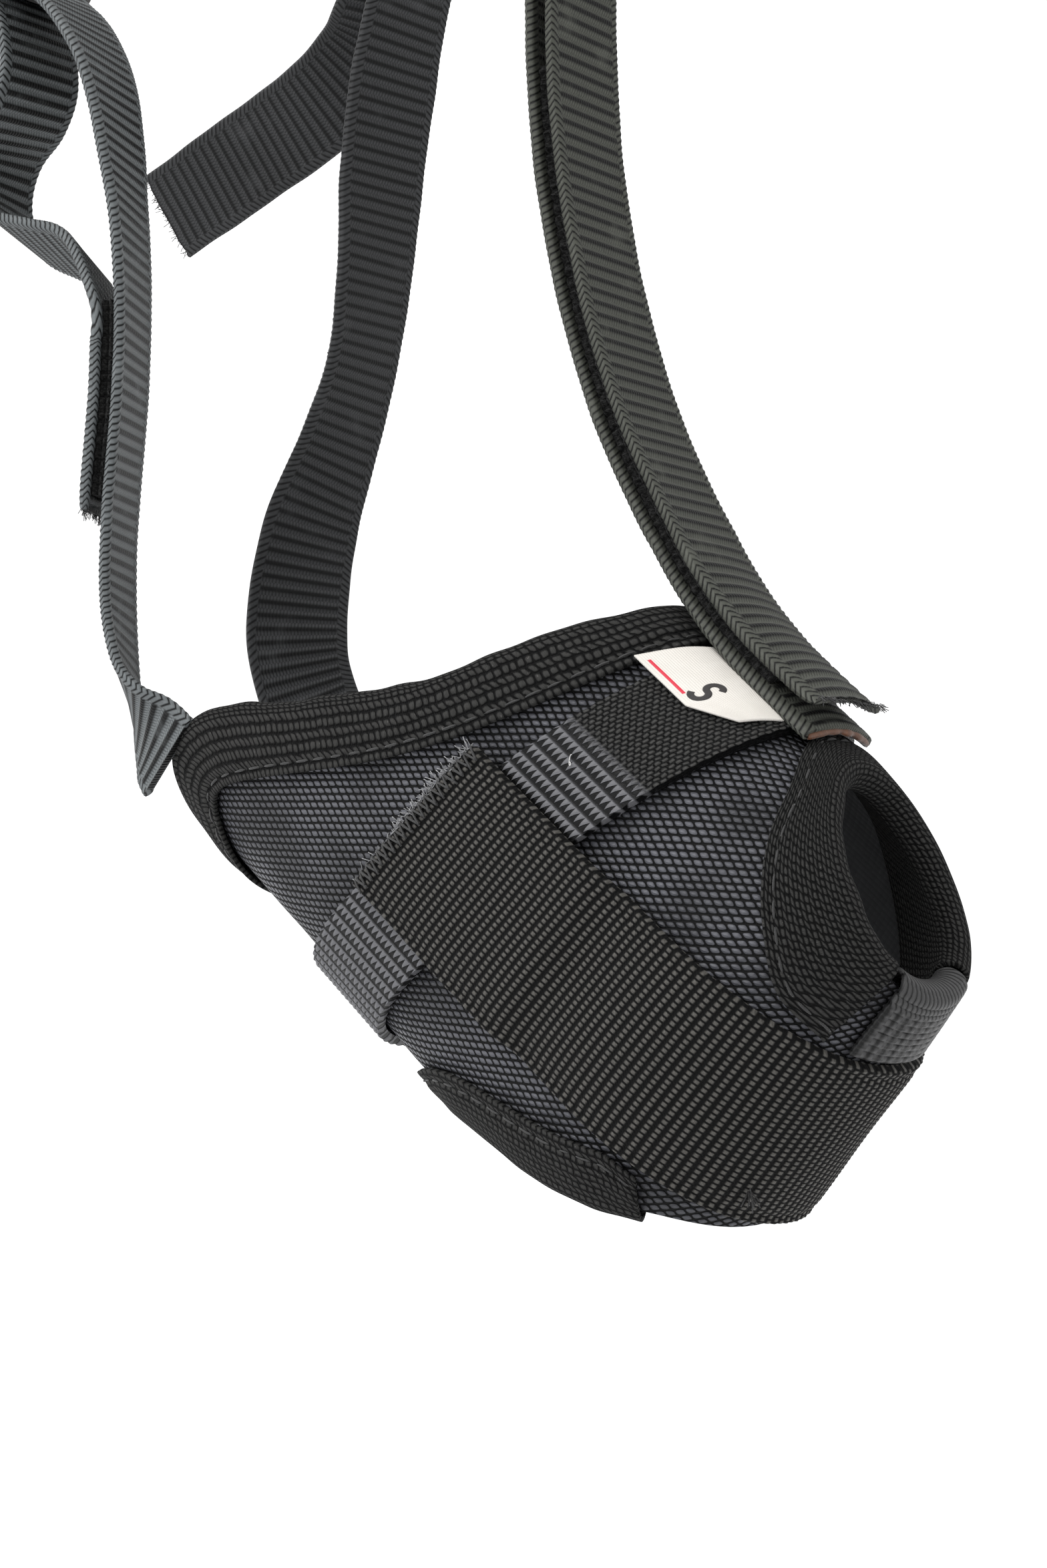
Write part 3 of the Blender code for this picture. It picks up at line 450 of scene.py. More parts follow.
def floats(u, v, length, width):
    """Staggered oval floats of a woven or knitted cloth: height from 0 in the gaps to 1."""
    row = (v / width).floor()
    shifted = u / length + (row * 0.5).fraction()
    along = abs(shifted.fraction() * 2.0 - 1.0)
    across = abs((v / width).fraction() * 2.0 - 1.0)
    return (along ** 3.0).opposite() * (across ** 2.0).opposite()


def knit(u, v, length, width):
    """Rows of short slanting floats, each row a third of a float on from the last: height from 0 to 1."""
    row = (v / width).floor()
    within = (v / width).fraction() - 0.5
    lean = (row * 0.5).fraction() * 1.2 + 0.3
    along = abs((u / length + row * 0.37 + lean * within).fraction() * 2.0 - 1.0)
    return (along ** 2.5).opposite() * (abs(within * 2.0) ** 2.0).opposite()


def shell_look():
    look = Look("ballistic_nylon", 0.38, sheen=0.0, specular=0.22)
    u, v = look.weave()
    turn = math.radians(SHELL_GRAIN)
    u, v = u * math.cos(turn) + v * math.sin(turn), v * math.cos(turn) - u * math.sin(turn)
    uneven = look.noise(0.6)
    height = floats(u + (v / 0.93).fraction() * 0.55 + uneven * 0.25, v + uneven * 0.2, 1.28, 0.93)
    threads = (u * 1.2 + v * 4.2).wave()
    patchy = look.noise(0.07)
    fine = look.noise(1.6)
    # Painted highlight on the tops of the floats, brighter and cooler where patchy is high, and painted shade near
    # black in the gaps between floats.
    top = height.ramp(0.40, 0.66) * (fine * 0.5 + 0.75)
    look.paint(look.mix(patchy.ramp(0.35, 0.62), look.mix(top, (0.0008, 0.0008, 0.0009), (0.044, 0.0445, 0.050)),
                        look.mix(top, (0.0009, 0.0009, 0.0010), (0.092, 0.093, 0.105))))
    look.roughen(top, 0.85, 0.36)
    look.bump(height + threads * 0.06 + fine * 0.08, 0.00045)
    return look.material


def lining_look():
    look = Look("lining_cloth", 0.85, sheen=0.04, specular=0.2)
    u, v = look.weave()
    height = u.wave() * 0.5 + (v * 1.25).wave() * 0.5
    look.paint(look.mix(look.noise(0.2), (0.030, 0.031, 0.033), (0.052, 0.053, 0.056)))
    look.bump(height, 0.0001)
    return look.material


def tape_look():
    look = Look("binding_tape", 0.8, sheen=0.02, specular=0.1)
    u, v = look.weave()
    wobble = look.noise(0.9) * 0.5
    height = knit(u + wobble * 0.9, v + wobble * 0.6, 1.02, 0.60)
    plies = (u * 3.4 + v * 2.6).wave()
    fine = look.noise(2.4)
    lit = height.ramp(0.3, 0.8) * (fine * 1.1 + 0.4)
    specks = look.noise(3.1).ramp(0.66, 0.72) * height.ramp(0.5, 0.9)
    cloth = look.mix(lit, (0.0007, 0.0007, 0.0007), (0.0330, 0.0325, 0.0310))
    look.paint(look.mix(specks * 0.5, cloth, (0.13, 0.125, 0.12)))
    look.bump(height + plies * 0.14 + fine * 0.2, 0.00034)
    return look.material


def band_look():
    """Coarse chin band: the ribs and their bumps are in the mesh, this adds the plies, holes and fluff."""
    look = Look("band_webbing", 0.62, sheen=0.01, specular=0.14)
    u, v = look.weave()
    rib = (u / 1.2).fraction()
    rise = abs(rib * 2.0 - 1.0).opposite()
    stagger = ((u / 1.2).floor() * 0.5).fraction()
    bumps = (v / 0.72 + stagger).wave()
    plies = (v * 2.4 + u * 2.2).wave()
    fine = look.noise(2.2)
    lit = rise.ramp(0.3, 0.8) * bumps.ramp(0.3, 0.8) * (fine * 0.9 + 0.5)
    patchy = look.noise(0.12)
    cloth = look.mix(lit, (0.0006, 0.0006, 0.0006), (0.082, 0.078, 0.071))
    look.paint(look.mix(patchy * 0.12, cloth, (0.0070, 0.0066, 0.0062)))
    look.roughen(lit, 0.8, 0.45)
    look.bump(rise * 0.4 + bumps * 0.6 + plies * 0.2 + fine * 0.2, 0.00022)
    return look.material


def webbing_look(name, dark, light, roughness, thread=0.5, selvedge=1.5, groove=0.2):
    """Ribbed strap webbing: ribs and selvedge are in the mesh, this adds the threads that wrap each rib."""
    look = Look(name, roughness, sheen=0.02, specular=0.18)
    u, v = look.weave()
    rib = (u / (RIB_PITCH / MM) + 0.5).wave()
    half = STRAP_WIDTH / MM / 2
    edge = abs(v).ramp(half - selvedge - 0.2, half - selvedge + 0.2)
    threads = (v / thread + ((u / (RIB_PITCH / MM)).floor() * 0.5).fraction()).wave()
    braid = (u / 0.95 + abs(v) / 1.5).wave()
    fine = look.noise(2.6)
    lit = ((rib.ramp(groove, 0.95) * (threads * 0.6 + 0.4)) * edge.opposite()
           + braid.ramp(0.1, 0.9) * edge * 0.8)
    worn = look.noise(0.16)
    cloth = look.mix(lit * (fine * 0.6 + 0.65), dark, light)
    look.paint(look.mix(worn.ramp(0.55, 0.8) * 0.25, cloth, tuple(1.6 * c for c in light)))
    look.bump(threads * edge.opposite() * 0.5 + braid * edge * 0.5 + fine * 0.35, 0.00016)
    return look.material


def girth_look():
    """Girth strap: knitted rows, with pointed teeth where it dips under the chin band, the teeth carrying a cool
    painted highlight.
    """
    look = Look("girth_webbing", 0.42, sheen=0.01, specular=0.14)
    u, v = look.weave()
    pitch = RIB_PITCH / MM
    within = (u / pitch).fraction()
    side = ((u / pitch).floor() * 0.5).fraction()
    across = abs((v / 0.95 + side).fraction() * 2.0 - 1.0)
    tooth = (within - across * 0.75).ramp(-0.05, 0.12) * within.ramp(0.80, 0.98).opposite()
    knots = floats(u, v, pitch * 0.5, 0.62)
    toothed_from = float(round_of_height(BAND_TOP_Z)) / MM - 10.0
    near = abs(u).ramp(toothed_from - 1.5, toothed_from + 1.5)
    fine = look.noise(2.6)
    knit_rows_colour = look.mix(knots.ramp(0.35, 0.8) * (fine * 0.9 + 0.4),
                    (0.0008, 0.0008, 0.0008), (0.040, 0.039, 0.037))
    # Painted highlight: the teeth near the chin band are coloured a cool bright grey.
    teeth_painted_highlight = look.mix(tooth * (fine * 0.4 + 0.8), (0.0008, 0.0008, 0.0008), (0.110, 0.110, 0.117))
    look.paint(look.mix(near, knit_rows_colour, teeth_painted_highlight))
    look.bump(near * tooth + near.opposite() * knots + fine * 0.3, 0.00024)
    return look.material


def pile_look():
    look = Look("hook_and_loop", 0.95, sheen=0.05, specular=0.1)
    look.weave()
    fuzz = look.noise(3.2, 5.0)
    look.paint(look.mix(fuzz.ramp(0.35, 0.75), (0.0035, 0.0035, 0.0035), (0.032, 0.032, 0.031)))
    look.bump(fuzz, 0.0006)
    return look.material


def plastic_look():
    look = Look("buckle_plastic", 0.42, specular=0.5)
    look.solid()
    grain = look.noise(2600.0, 2.0)
    smudge = look.noise(130.0, 3.0)
    look.paint(look.mix(smudge, (0.0125, 0.0105, 0.0095), (0.021, 0.0175, 0.0155)))
    look.roughen(smudge * 0.6 + grain * 0.4, 0.34, 0.56)
    look.bump(grain, 0.00003)
    return look.material


def label_look():
    look = Look("label_cloth", 0.55, sheen=0.1, specular=0.4)
    u, v = look.weave()
    threads = (v / 0.28).wave() * 0.6 + (u / 0.34).wave() * 0.4
    stain = look.noise(0.35)
    white = look.mix(stain, (0.56, 0.53, 0.485), (0.655, 0.625, 0.58))
    stripe = abs(v - 4.35).ramp(0.16, 0.22).opposite() * u.ramp(1.2, 1.3) * u.ramp(7.9, 8.0).opposite()
    look.paint(look.mix(stripe, white, (0.55, 0.02, 0.045)))
    look.bump(threads, 0.00005)
    return look.material


def plain_thread_look(name, dark, light, roughness=0.6):
    look = Look(name, roughness, sheen=0.2)
    look.solid()
    look.paint(look.mix(look.noise(1500.0), dark, light))
    look.bump(look.noise(5200.0, 1.0), 0.00004)
    return look.material


LOOKS = {
    "shell": shell_look(),
    "lining": lining_look(),
    "tape": tape_look(),
    "band": band_look(),
    "webbing": webbing_look("strap_webbing", (0.0009, 0.0010, 0.0008), (0.078, 0.081, 0.068),
                            0.55, groove=0.3),
    "right_webbing": webbing_look("right_webbing", (0.0010, 0.0011, 0.0011), (0.165, 0.178, 0.182), 0.5,
                                  groove=0.42),
    "left_webbing": webbing_look("left_webbing", (0.0040, 0.0041, 0.0042), (0.052, 0.053, 0.055), 0.6),
    "girth_webbing": girth_look(),
    "lip_webbing": webbing_look("lip_webbing", (0.0010, 0.0010, 0.0010), (0.058, 0.0575, 0.058),
                                0.42, 0.95, 0.4),
    "pile": pile_look(),
    "plastic": plastic_look(),
    "label": label_look(),
    "thread": plain_thread_look("sewing_thread", (0.0035, 0.0034, 0.0033), (0.014, 0.0135, 0.013)),
    "fray": plain_thread_look("frayed_thread", (0.05, 0.05, 0.05), (0.42, 0.42, 0.43)),
    "lint": plain_thread_look("lint", (0.45, 0.44, 0.43), (0.62, 0.61, 0.60)),
    "ink": plain_thread_look("label_ink", (0.010, 0.008, 0.008), (0.020, 0.016, 0.015), 0.7),
    "residue": plain_thread_look("melted_edge", (0.020, 0.008, 0.003), (0.16, 0.055, 0.018), 0.5),
}


# ---------------------------------------------------------------- sleeve pieces

def sew_to_sleeve(piece, node):
    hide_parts(node)
    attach(piece, "sleeve")
    return piece


def sleeve_cloth(name, lift, thickness, look, puff):
    """The sewn tube with fine rows, and a slight puff between its seams."""
    half = np.linspace(0, 1, 70 // DETAIL)
    lip, chin = round_of_height(LIP_Z), round_of_height(THROAT_EDGE[-1][0] * MM)
    closer = half ** CROWDING
    rounds = np.concatenate([
        lip * (1 - closer[::-1])[:-1], np.linspace(lip, chin, 36 // DETAIL)[:-1],
        chin + (HALF_GIRTH - chin) * closer,
    ])
    around = np.concatenate([-rounds[::-1], rounds[1:-1]])
    share = np.linspace(0, 1, 130 // DETAIL)[:, None]
    rear, front = rear_arc(around), front_arc(around)
    along = front - (front - rear) * (1 - share) ** CROWDING
    around = np.broadcast_to(around, along.shape)
    height = height_of_round(around)
    seams = np.minimum(np.abs(along - rear) / (10 * MM), np.abs(along - front) / (10 * MM))
    seams = np.clip(np.minimum(seams, np.abs(height - BAND_TOP_Z) / (5 * MM)), 0, 1)
    waves = ripple(along, around, 6 * MM) * puff * seams
    points = sleeve_points(along, around, lift + waves)
    weave = np.stack([along, around], -1) / MM
    piece = add_piece(name, points, weave, look, tube=True, turn=(0.0, 2 * HALF_GIRTH / MM))
    thicken(piece, thickness)
    size = (2 * HALF_GIRTH, float(np.ptp(along)))
    covered = float(np.mean(front - rear)) * 2 * HALF_GIRTH
    min(covered, size[0] * size[1])
    return piece


def tape_profile():
    """Cross-section of a folded tape: share of the way to the edge, part of the fold, part of the lift."""
    outer = [(t, 0.0, 1.0) for t in np.linspace(0, 1, 18)]
    turn = [(1.0, math.cos(a), math.sin(a)) for a in np.linspace(math.pi / 2, -math.pi / 2, 11)[1:-1]]
    inner = [(t, 0.0, -1.0) for t in np.linspace(1, 0.1, 9)]
    return np.array(outer + turn + inner)


def folded_tape(name, edge, inner, seed, ring=False):
    """Tape folded over an edge, sewn down near its open sides, as (stations, profile) points on the sleeve."""
    profile = tape_profile()
    way = edge - inner
    width = np.linalg.norm(way, axis=1, keepdims=True)
    away = way / width * TAPE_FOLD
    t, fold, up = profile.T
    place = inner[:, None] + way[:, None] * t[None, :, None] + away[:, None] * fold[None, :, None]
    length = np.concatenate([[0], np.cumsum(np.linalg.norm(np.diff(edge, axis=0), axis=1))])
    middle, half = (TAPE_OUTER_LIFT + TAPE_INNER_LIFT) / 2, (TAPE_OUTER_LIFT - TAPE_INNER_LIFT) / 2
    from_side = t[None, :] * width
    stitched = np.exp(-((from_side - 1.4 * MM) / (0.6 * MM)) ** 2) * (0.65 + 0.35 * np.cos(
        2 * math.pi * length[:, None] / STITCH_PITCH))
    plump = 0.22 * MM * np.sin(math.pi * np.clip(from_side / width, 0, 1)) * (1 + ripple(
        length[:, None] + seed, from_side, 3.5 * MM))
    lift = middle + half * up[None, :] + np.where(up[None, :] > 0.99, plump - 0.28 * MM * stitched, 0)
    wavy = 0.3 * MM * ripple(length[:, None] + seed, 0 * from_side, 4 * MM) * fold[None, :]
    place = place + (away / TAPE_FOLD)[:, None] * wavy[..., None]
    limit = HALF_GIRTH - 0.01 * MM
    points = sleeve_points(place[..., 0], np.clip(place[..., 1], -limit, limit), lift)
    across = np.concatenate([[0], np.cumsum(np.linalg.norm(np.diff(points[0], axis=0), axis=1))])
    weave = np.stack(np.broadcast_arrays(length[:, None], across[None, :]), -1) / MM
    piece = add_piece(name, points, weave, "tape", ring=ring, turn=(length[-1] / MM + 0.6, 0.0))
    thicken(piece, TAPE_THICKNESS)
    return piece


def rear_binding_lines(count):
    """Rim edge, and the line that the tape's open sides are sewn along, as (along, around) round the whole rim."""
    coarse = np.linspace(-HALF_GIRTH, HALF_GIRTH, 57)[:-1]
    edge = np.stack([rear_arc(coarse), coarse], 1)
    ahead, behind = np.roll(edge, -1, 0), np.roll(edge, 1, 0)
    step = ahead - behind
    step[:, 1] = (step[:, 1] + HALF_GIRTH) % (2 * HALF_GIRTH) - HALF_GIRTH
    normal = np.stack([step[:, 1], -step[:, 0]], 1)
    normal /= np.linalg.norm(normal, axis=1)[:, None]
    inner = edge + normal * REAR_BINDING_WIDTH
    for _ in range(8):
        ahead, behind = np.roll(inner, -1, 0), np.roll(inner, 1, 0)
        ahead[-1, 1] += 2 * HALF_GIRTH
        behind[0, 1] -= 2 * HALF_GIRTH
        inner = (inner + ahead + behind) / 3
    fine = np.linspace(-HALF_GIRTH, HALF_GIRTH, count + 1)[:-1]
    inner_fine = np.stack([np.interp(fine, coarse, inner[:, k], period=2 * HALF_GIRTH) for k in (0, 1)], 1)
    late = fine > coarse[-1]
    blend = (fine[late] - coarse[-1]) / (HALF_GIRTH - coarse[-1])
    inner_fine[late, 1] = inner[-1, 1] + blend * (inner[0, 1] + 2 * HALF_GIRTH - inner[-1, 1])
    return np.stack([rear_arc(fine), fine], 1), inner_fine


def nose_binding_lines(count):
    closer = 1 - (1 - np.linspace(0, 1, count)) ** CROWDING
    end_round = round_of_height(hole_height(NOSE_BINDING_END_X))
    rounds = end_round * np.concatenate([-closer[:0:-1], closer])
    last = round_of_height(NOSE_BINDING_EDGE[-1][0] * MM)
    inner_round = np.sign(rounds) * last * (np.abs(rounds) / end_round) ** 1.08
    inner_along = arc_of_x(smooth_through(sorted(NOSE_BINDING_EDGE), height_of_round(inner_round) / MM) * MM)
    edge_along = arc_of_x(hole_x(height_of_round(rounds)))
    return np.stack([edge_along, rounds], 1), np.stack([inner_along, inner_round], 1)


def throat_binding_lines(count):
    half = np.linspace(round_of_height(-18.6 * MM), HALF_GIRTH - 0.02 * MM, count)
    around = np.concatenate([-half, half[::-1]])
    edge = np.stack([front_arc(around), around], 1)
    unrolled = np.stack([edge[:, 0], np.where(around < 0, around, around - 2 * HALF_GIRTH)], 1)
    step = np.gradient(unrolled, axis=0)
    normal = np.stack([step[:, 1], -step[:, 0]], 1)
    normal /= np.linalg.norm(normal, axis=1)[:, None]
    inner = edge + normal * THROAT_BINDING_WIDTH
    limit, top = HALF_GIRTH - 0.01 * MM, round_of_height(BAND_BOTTOM_Z - 1.2 * MM)
    inner[:, 1] = np.sign(around) * np.clip(np.abs(inner[:, 1]), top, limit)
    return edge, inner


def band_lift(x):
    t = np.clip((23.0 * MM - x) / (6.5 * MM), 0, 1)
    return BAND_LIFT + BAND_STEP * t * t * (3 - 2 * t)


def band_place(share, height):
    """(along, around) on the chin band. share goes from -1 at the right cut end through the front to +1."""
    reach = TIP_ARC - arc_of_x(BAND_END_X + BAND_END_SLANT * height)
    return TIP_ARC - np.abs(share) * reach, np.where(share < 0, -1, 1) * round_of_height(height)


def make_chin_band():
    """Coarse ribs across the band, each a row of staggered bumps, with flatter sewn edges."""
    length = 2 * (TIP_ARC - arc_of_x(BAND_END_X))
    rib, bump = 1.2 * MM, 0.72 * MM
    rows = round(length / (rib / 6)) // DETAIL
    share = np.linspace(-1, 1, rows)[:, None]
    share = np.where(share == 0, 1e-9, share)
    top = np.linspace(BAND_TOP_Z, BAND_BOTTOM_Z, 106 // DETAIL)
    bottom = np.linspace(BAND_BOTTOM_Z, BAND_TOP_Z, 8)
    height = np.concatenate([top, bottom])[None, :]
    outer = (np.arange(height.shape[1]) < len(top))[None, :]
    along, around = band_place(share, height)
    u, v = (share * length / 2), height - BAND_BOTTOM_Z
    ridge = 1 - np.abs(2 * ((u / rib) % 1) - 1)
    knobs = np.abs(np.sin(math.pi * (v / bump + 0.5 * (np.floor(u / rib) % 2))))
    from_edge = np.minimum(height - BAND_BOTTOM_Z, BAND_TOP_Z - height)
    body = np.clip(from_edge / (0.5 * MM), 0, 1) ** 0.5
    stitched = np.exp(-((from_edge - 1.5 * MM) / (0.55 * MM)) ** 2)
    relief = (0.24 * MM * np.sqrt(ridge) * (0.45 + 0.55 * knobs) - 0.22 * MM * stitched
              + 0.16 * MM * ripple(u, v, 9 * MM))
    half = BAND_THICKNESS / 2
    lift = band_lift(x_of_arc(along)) + np.where(outer, half * (2 * body - 1) + relief * body, -half)
    points = sleeve_points(along, around, lift)
    weave = np.stack(np.broadcast_arrays(u, v), -1) / MM
    piece = add_piece("chin_band_webbing", points, weave, "band", tube=True, caps=True)
    return piece


def webbing_relief(u, v, half_width):
    """Height of strap webbing above its flat face: ribs across it, and a braided selvedge at each side."""
    distance = np.abs(v)
    inner = np.clip((half_width - SELVEDGE + 0.3 * MM - distance) / (0.6 * MM), 0, 1)
    rib = (0.5 - 0.5 * np.cos(2 * math.pi * u / RIB_PITCH)) ** 0.7
    braid = 0.5 + 0.5 * np.cos(2 * math.pi * (u / (0.95 * MM) + distance / SELVEDGE))
    return RIB_HEIGHT * (rib * inner + (0.5 + 0.5 * braid) * (1 - inner))


def strap_section(half_width, columns):
    """Offsets across the strap, once round its section, and which side each point is on: +1 outer, -1 inner."""
    across = (np.sin(np.linspace(-math.pi / 2, math.pi / 2, columns)) * 0.35
              + np.linspace(-1, 1, columns) * 0.65)
    offsets = np.concatenate([across, across[-2:0:-1]]) * half_width
    sides = np.concatenate([np.ones(columns), -np.ones(columns - 2)])
    sides[[0, columns - 1]] = 0
    return offsets, sides


def make_girth():
    count = round(2 * HALF_GIRTH / (0.3 * MM)) // DETAIL
    ribs = round(2 * HALF_GIRTH / RIB_PITCH)
    around = np.linspace(-HALF_GIRTH, HALF_GIRTH, count + 1)[:-1][:, None]
    offsets, sides = strap_section(STRAP_WIDTH / 2, 78 // DETAIL)
    u = around * ribs * RIB_PITCH / (2 * HALF_GIRTH)
    centre = (GIRTH_KEEL_X + (GIRTH_CROWN_X - GIRTH_KEEL_X)
              * (height_of_round(around) - KEEL_Z) / (CROWN_Z - KEEL_Z))
    rib = (0.5 - 0.5 * np.cos(2 * math.pi * u / RIB_PITCH)) ** 0.7
    teeth = np.abs(np.sin(math.pi * (offsets[None, :] / (0.95 * MM) + 0.5 * np.floor(u / RIB_PITCH))))
    relief = 0.26 * MM * rib * (0.4 + 0.6 * teeth) * (sides > 0)[None, :]
    lift = GIRTH_LIFT + sides[None, :] * STRAP_THICKNESS / 2 + relief
    points = sleeve_points(arc_of_x(centre + offsets[None, :]), around, lift)
    weave = np.stack(np.broadcast_arrays(u, offsets[None, :]), -1) / MM
    piece = add_piece("girth_strap_webbing", points, weave, "girth_webbing", ring=True, tube=True,
                      turn=(ribs * RIB_PITCH / MM, 0.0))
    2 * HALF_GIRTH
    return piece


def make_lip():
    """Narrow strip over the lower edge of the nose hole, with cord-like rows along its folded top."""
    reach = TIP_ARC - arc_of_x(NOSE_BINDING_END_X + 0.9 * MM)
    share = np.linspace(-1, 1, 100 // DETAIL)
    along = (TIP_ARC - np.abs(share) * reach)[:, None]
    side = np.where(share < 0, -1, 1)[:, None]
    top = hole_height(x_of_arc(along))
    bottom = BAND_TOP_Z + 0.9 * MM
    middle, half = (TAPE_OUTER_LIFT + TAPE_INNER_LIFT) / 2, (TAPE_OUTER_LIFT - TAPE_INNER_LIFT) / 2
    t, fold, up = tape_profile_fine().T
    height = bottom + (top - bottom) * t[None, :] + TAPE_FOLD * fold[None, :]
    across = np.concatenate([[0], np.cumsum(np.hypot(np.diff(t) * 9 * MM, np.diff(up) * half))])
    cords = 0.17 * MM * np.abs(np.sin(math.pi * across / (0.95 * MM)))[None, :]
    lift = middle + half * up[None, :] + cords * (up > 0)[None, :]
    points = sleeve_points(along, side * round_of_height(height), lift)
    weave = np.stack(np.broadcast_arrays((share * reach)[:, None], across[None, :]), -1) / MM
    piece = add_piece("nose_lip_cloth", points, weave, "lip_webbing")
    thicken(piece, TAPE_THICKNESS)
    return piece


def tape_profile_fine():
    outer = [(t, 0.0, 1.0) for t in np.linspace(0, 1, 60)]
    turn = [(1.0, math.cos(a), math.sin(a)) for a in np.linspace(math.pi / 2, -math.pi / 2, 25)[1:-1]]
    inner = [(t, 0.0, -1.0) for t in np.linspace(1, 0.15, 9)]
    return np.array(outer + turn + inner)


def label_place(share, across):
    """(along, around) on the label. share runs towards the nose, across from the strap outwards."""
    near_x, near_round = 3.0 + 14.7 * share, -8.7
    far_x, far_round = 0.5 + 16.0 * share, -13.9 + 2.9 * np.clip(share - 0.62, 0, 1) / 0.38
    x = near_x + (far_x - near_x) * across
    return arc_of_x(x * MM), (near_round + (far_round - near_round) * across) * MM


def make_label():
    share, across = np.linspace(0, 1, 60)[:, None], np.linspace(-LABEL_TUCK, 1, 44)[None, :]
    along, around = label_place(share, across)
    shown, tucked = np.clip(across, 0, 1), np.clip(-across / LABEL_TUCK, 0, 1)
    curl = 0.35 * MM * shown ** 3 * (1 - share) ** 2 + 0.25 * MM * share ** 6 * shown
    uneven = 0.05 * MM * ripple(along, around, 4 * MM)
    points = sleeve_points(along, around, LABEL_LIFT + curl + uneven - 0.3 * MM * tucked)
    weave = np.stack(np.broadcast_arrays(LABEL_LENGTH * share, LABEL_SHOWN * across), -1) / MM
    piece = add_piece("size_label_cloth", points, weave, "label")
    thicken(piece, 0.28 * MM)
    return piece


def make_size_letter():
    """The size letter on the label: one flat stroke through two half circles."""
    upper = [(0.62 * math.cos(a), 0.62 + 0.62 * math.sin(a)) for a in np.radians(np.linspace(30, 270, 22))]
    lower = [(0.66 * math.cos(a), -0.66 + 0.66 * math.sin(a)) for a in np.radians(np.linspace(90, -150, 22))]
    line = np.array(upper + lower[1:]) * 1.3
    way = np.gradient(line, axis=0)
    way /= np.linalg.norm(way, axis=1)[:, None]
    side = np.stack([-way[:, 1], way[:, 0]], 1)
    across = np.linspace(-0.36, 0.36, 5)
    flat = line[:, None] + side[:, None] * across[None, :, None]
    along, around = label_place(0.56 + flat[..., 0] * MM / LABEL_LENGTH,
                                0.44 - flat[..., 1] * MM / LABEL_SHOWN)
    points = sleeve_points(along, around, LABEL_LIFT + 0.19 * MM)
    piece = add_piece("size_letter", points, flat.copy(), "ink")
    thicken(piece, 0.05 * MM)
    return piece


# ---------------------------------------------------------------- straps

class Run:
    """Stations along a strap: centre, width direction, outward direction, roll, and distance from its root."""

    def __init__(self, centre, across, out, roll, distance):
        self.centre = centre
        self.across = across
        self.out = out
        self.roll = roll
        self.distance = distance

    def between(self, start, end):
        keep = (self.distance > start - 1e-7) & (self.distance < end + 1e-7)
        return Run(self.centre[keep], self.across[keep], self.out[keep], self.roll[keep], self.distance[keep])

    def nearest(self, point):
        """Distance of the station that is nearest to a point."""
        return self.distance[np.argmin(np.linalg.norm(self.centre - np.array(point), axis=1))]

    def raised(self, lift, step):
        """Route points at a lift above the centreline, from the far end back, with the roll that keeps them level."""
        chosen = slice(None, None, -max(1, round(step / (self.distance[1] - self.distance[0]))))
        points = (self.centre + lift * self.out)[chosen] / MM
        return [(*point, -roll) for point, roll in zip(points.tolist(), self.roll[chosen].tolist())]


def run_along(route, spacing=0.22 * MM * DETAIL):
    path = smooth_path([(x * MM, y * MM, z * MM, roll) for x, y, z, roll in route], spacing)
    centre = path[:, :3]
    tangent = np.gradient(centre, axis=0)
    tangent /= np.linalg.norm(tangent, axis=1)[:, None]
    across = np.array([0, 1.0, 0]) - tangent * tangent[:, 1:2]
    across /= np.linalg.norm(across, axis=1)[:, None]
    out = np.cross(across, tangent)
    roll = np.radians(path[:, 3])[:, None]
    width_way = np.cos(roll) * across + np.sin(roll) * out
    distance = np.concatenate([[0], np.cumsum(np.linalg.norm(np.diff(centre, axis=0), axis=1))])
    return Run(centre, width_way, np.cross(width_way, tangent), path[:, 3], distance)


def webbing(name, run, look, cup=0.0, ragged=0.0, tight=0.0):
    """Ribbed strap with rounded edges.

    cup bends its edges away from the outer side, ragged roughens its far end, and tight is the length
    at its far end that is pulled flat round a buckle bar.
    """
    half = STRAP_WIDTH / 2
    offsets, sides = strap_section(half, 40 // DETAIL)
    along = run.distance[:, None] + np.where(sides < 0, RIB_PITCH / 2, 0)[None, :]
    from_edge = half - np.abs(offsets)
    radius = 0.6 * STRAP_THICKNESS
    rounded = np.sqrt(1 - (1 - np.clip(from_edge / radius, 0, 1)) ** 2)[None, :]
    pulled = np.clip((run.distance - run.distance[-1] + tight) / (3 * MM), 0, 1)[:, None] if tight else 0.0
    relief = webbing_relief(along, offsets[None, :], half) * (1 - 0.7 * pulled)
    face = (STRAP_THICKNESS / 2 - 0.12 * MM + relief) * rounded * sides[None, :]
    drop = np.broadcast_to(np.asarray(cup), run.distance.shape)[:, None] * (offsets[None, :] / half) ** 2
    waver = 0.12 * MM * ripple(run.distance, 0 * run.distance, 5 * MM)
    offset = offsets[None, :] + waver[:, None] * np.sign(offsets)[None, :] * (from_edge < SELVEDGE)[None, :]
    points = (run.centre[:, None] + run.across[:, None] * offset[..., None]
              + run.out[:, None] * (face - drop)[..., None])
    if ragged:
        end = np.exp(-(run.distance[-1] - run.distance) / (1.2 * MM))[:, None]
        way = run.centre[-1] - run.centre[-3]
        way /= np.linalg.norm(way)
        points += (end * ragged * ripple(offsets[None, :], sides[None, :] * MM, 0.9 * MM))[..., None] * way
        thin = 1 - 0.35 * end
        points = run.centre[:, None] * (1 - thin[..., None]) + points * thin[..., None] + (
            run.across[:, None] * (offset * (1 - thin))[..., None])
    weave = np.stack(np.broadcast_arrays(along, offsets[None, :]), -1) / MM
    piece = add_piece(name, points, weave, look, tube=True, caps=True)
    return piece


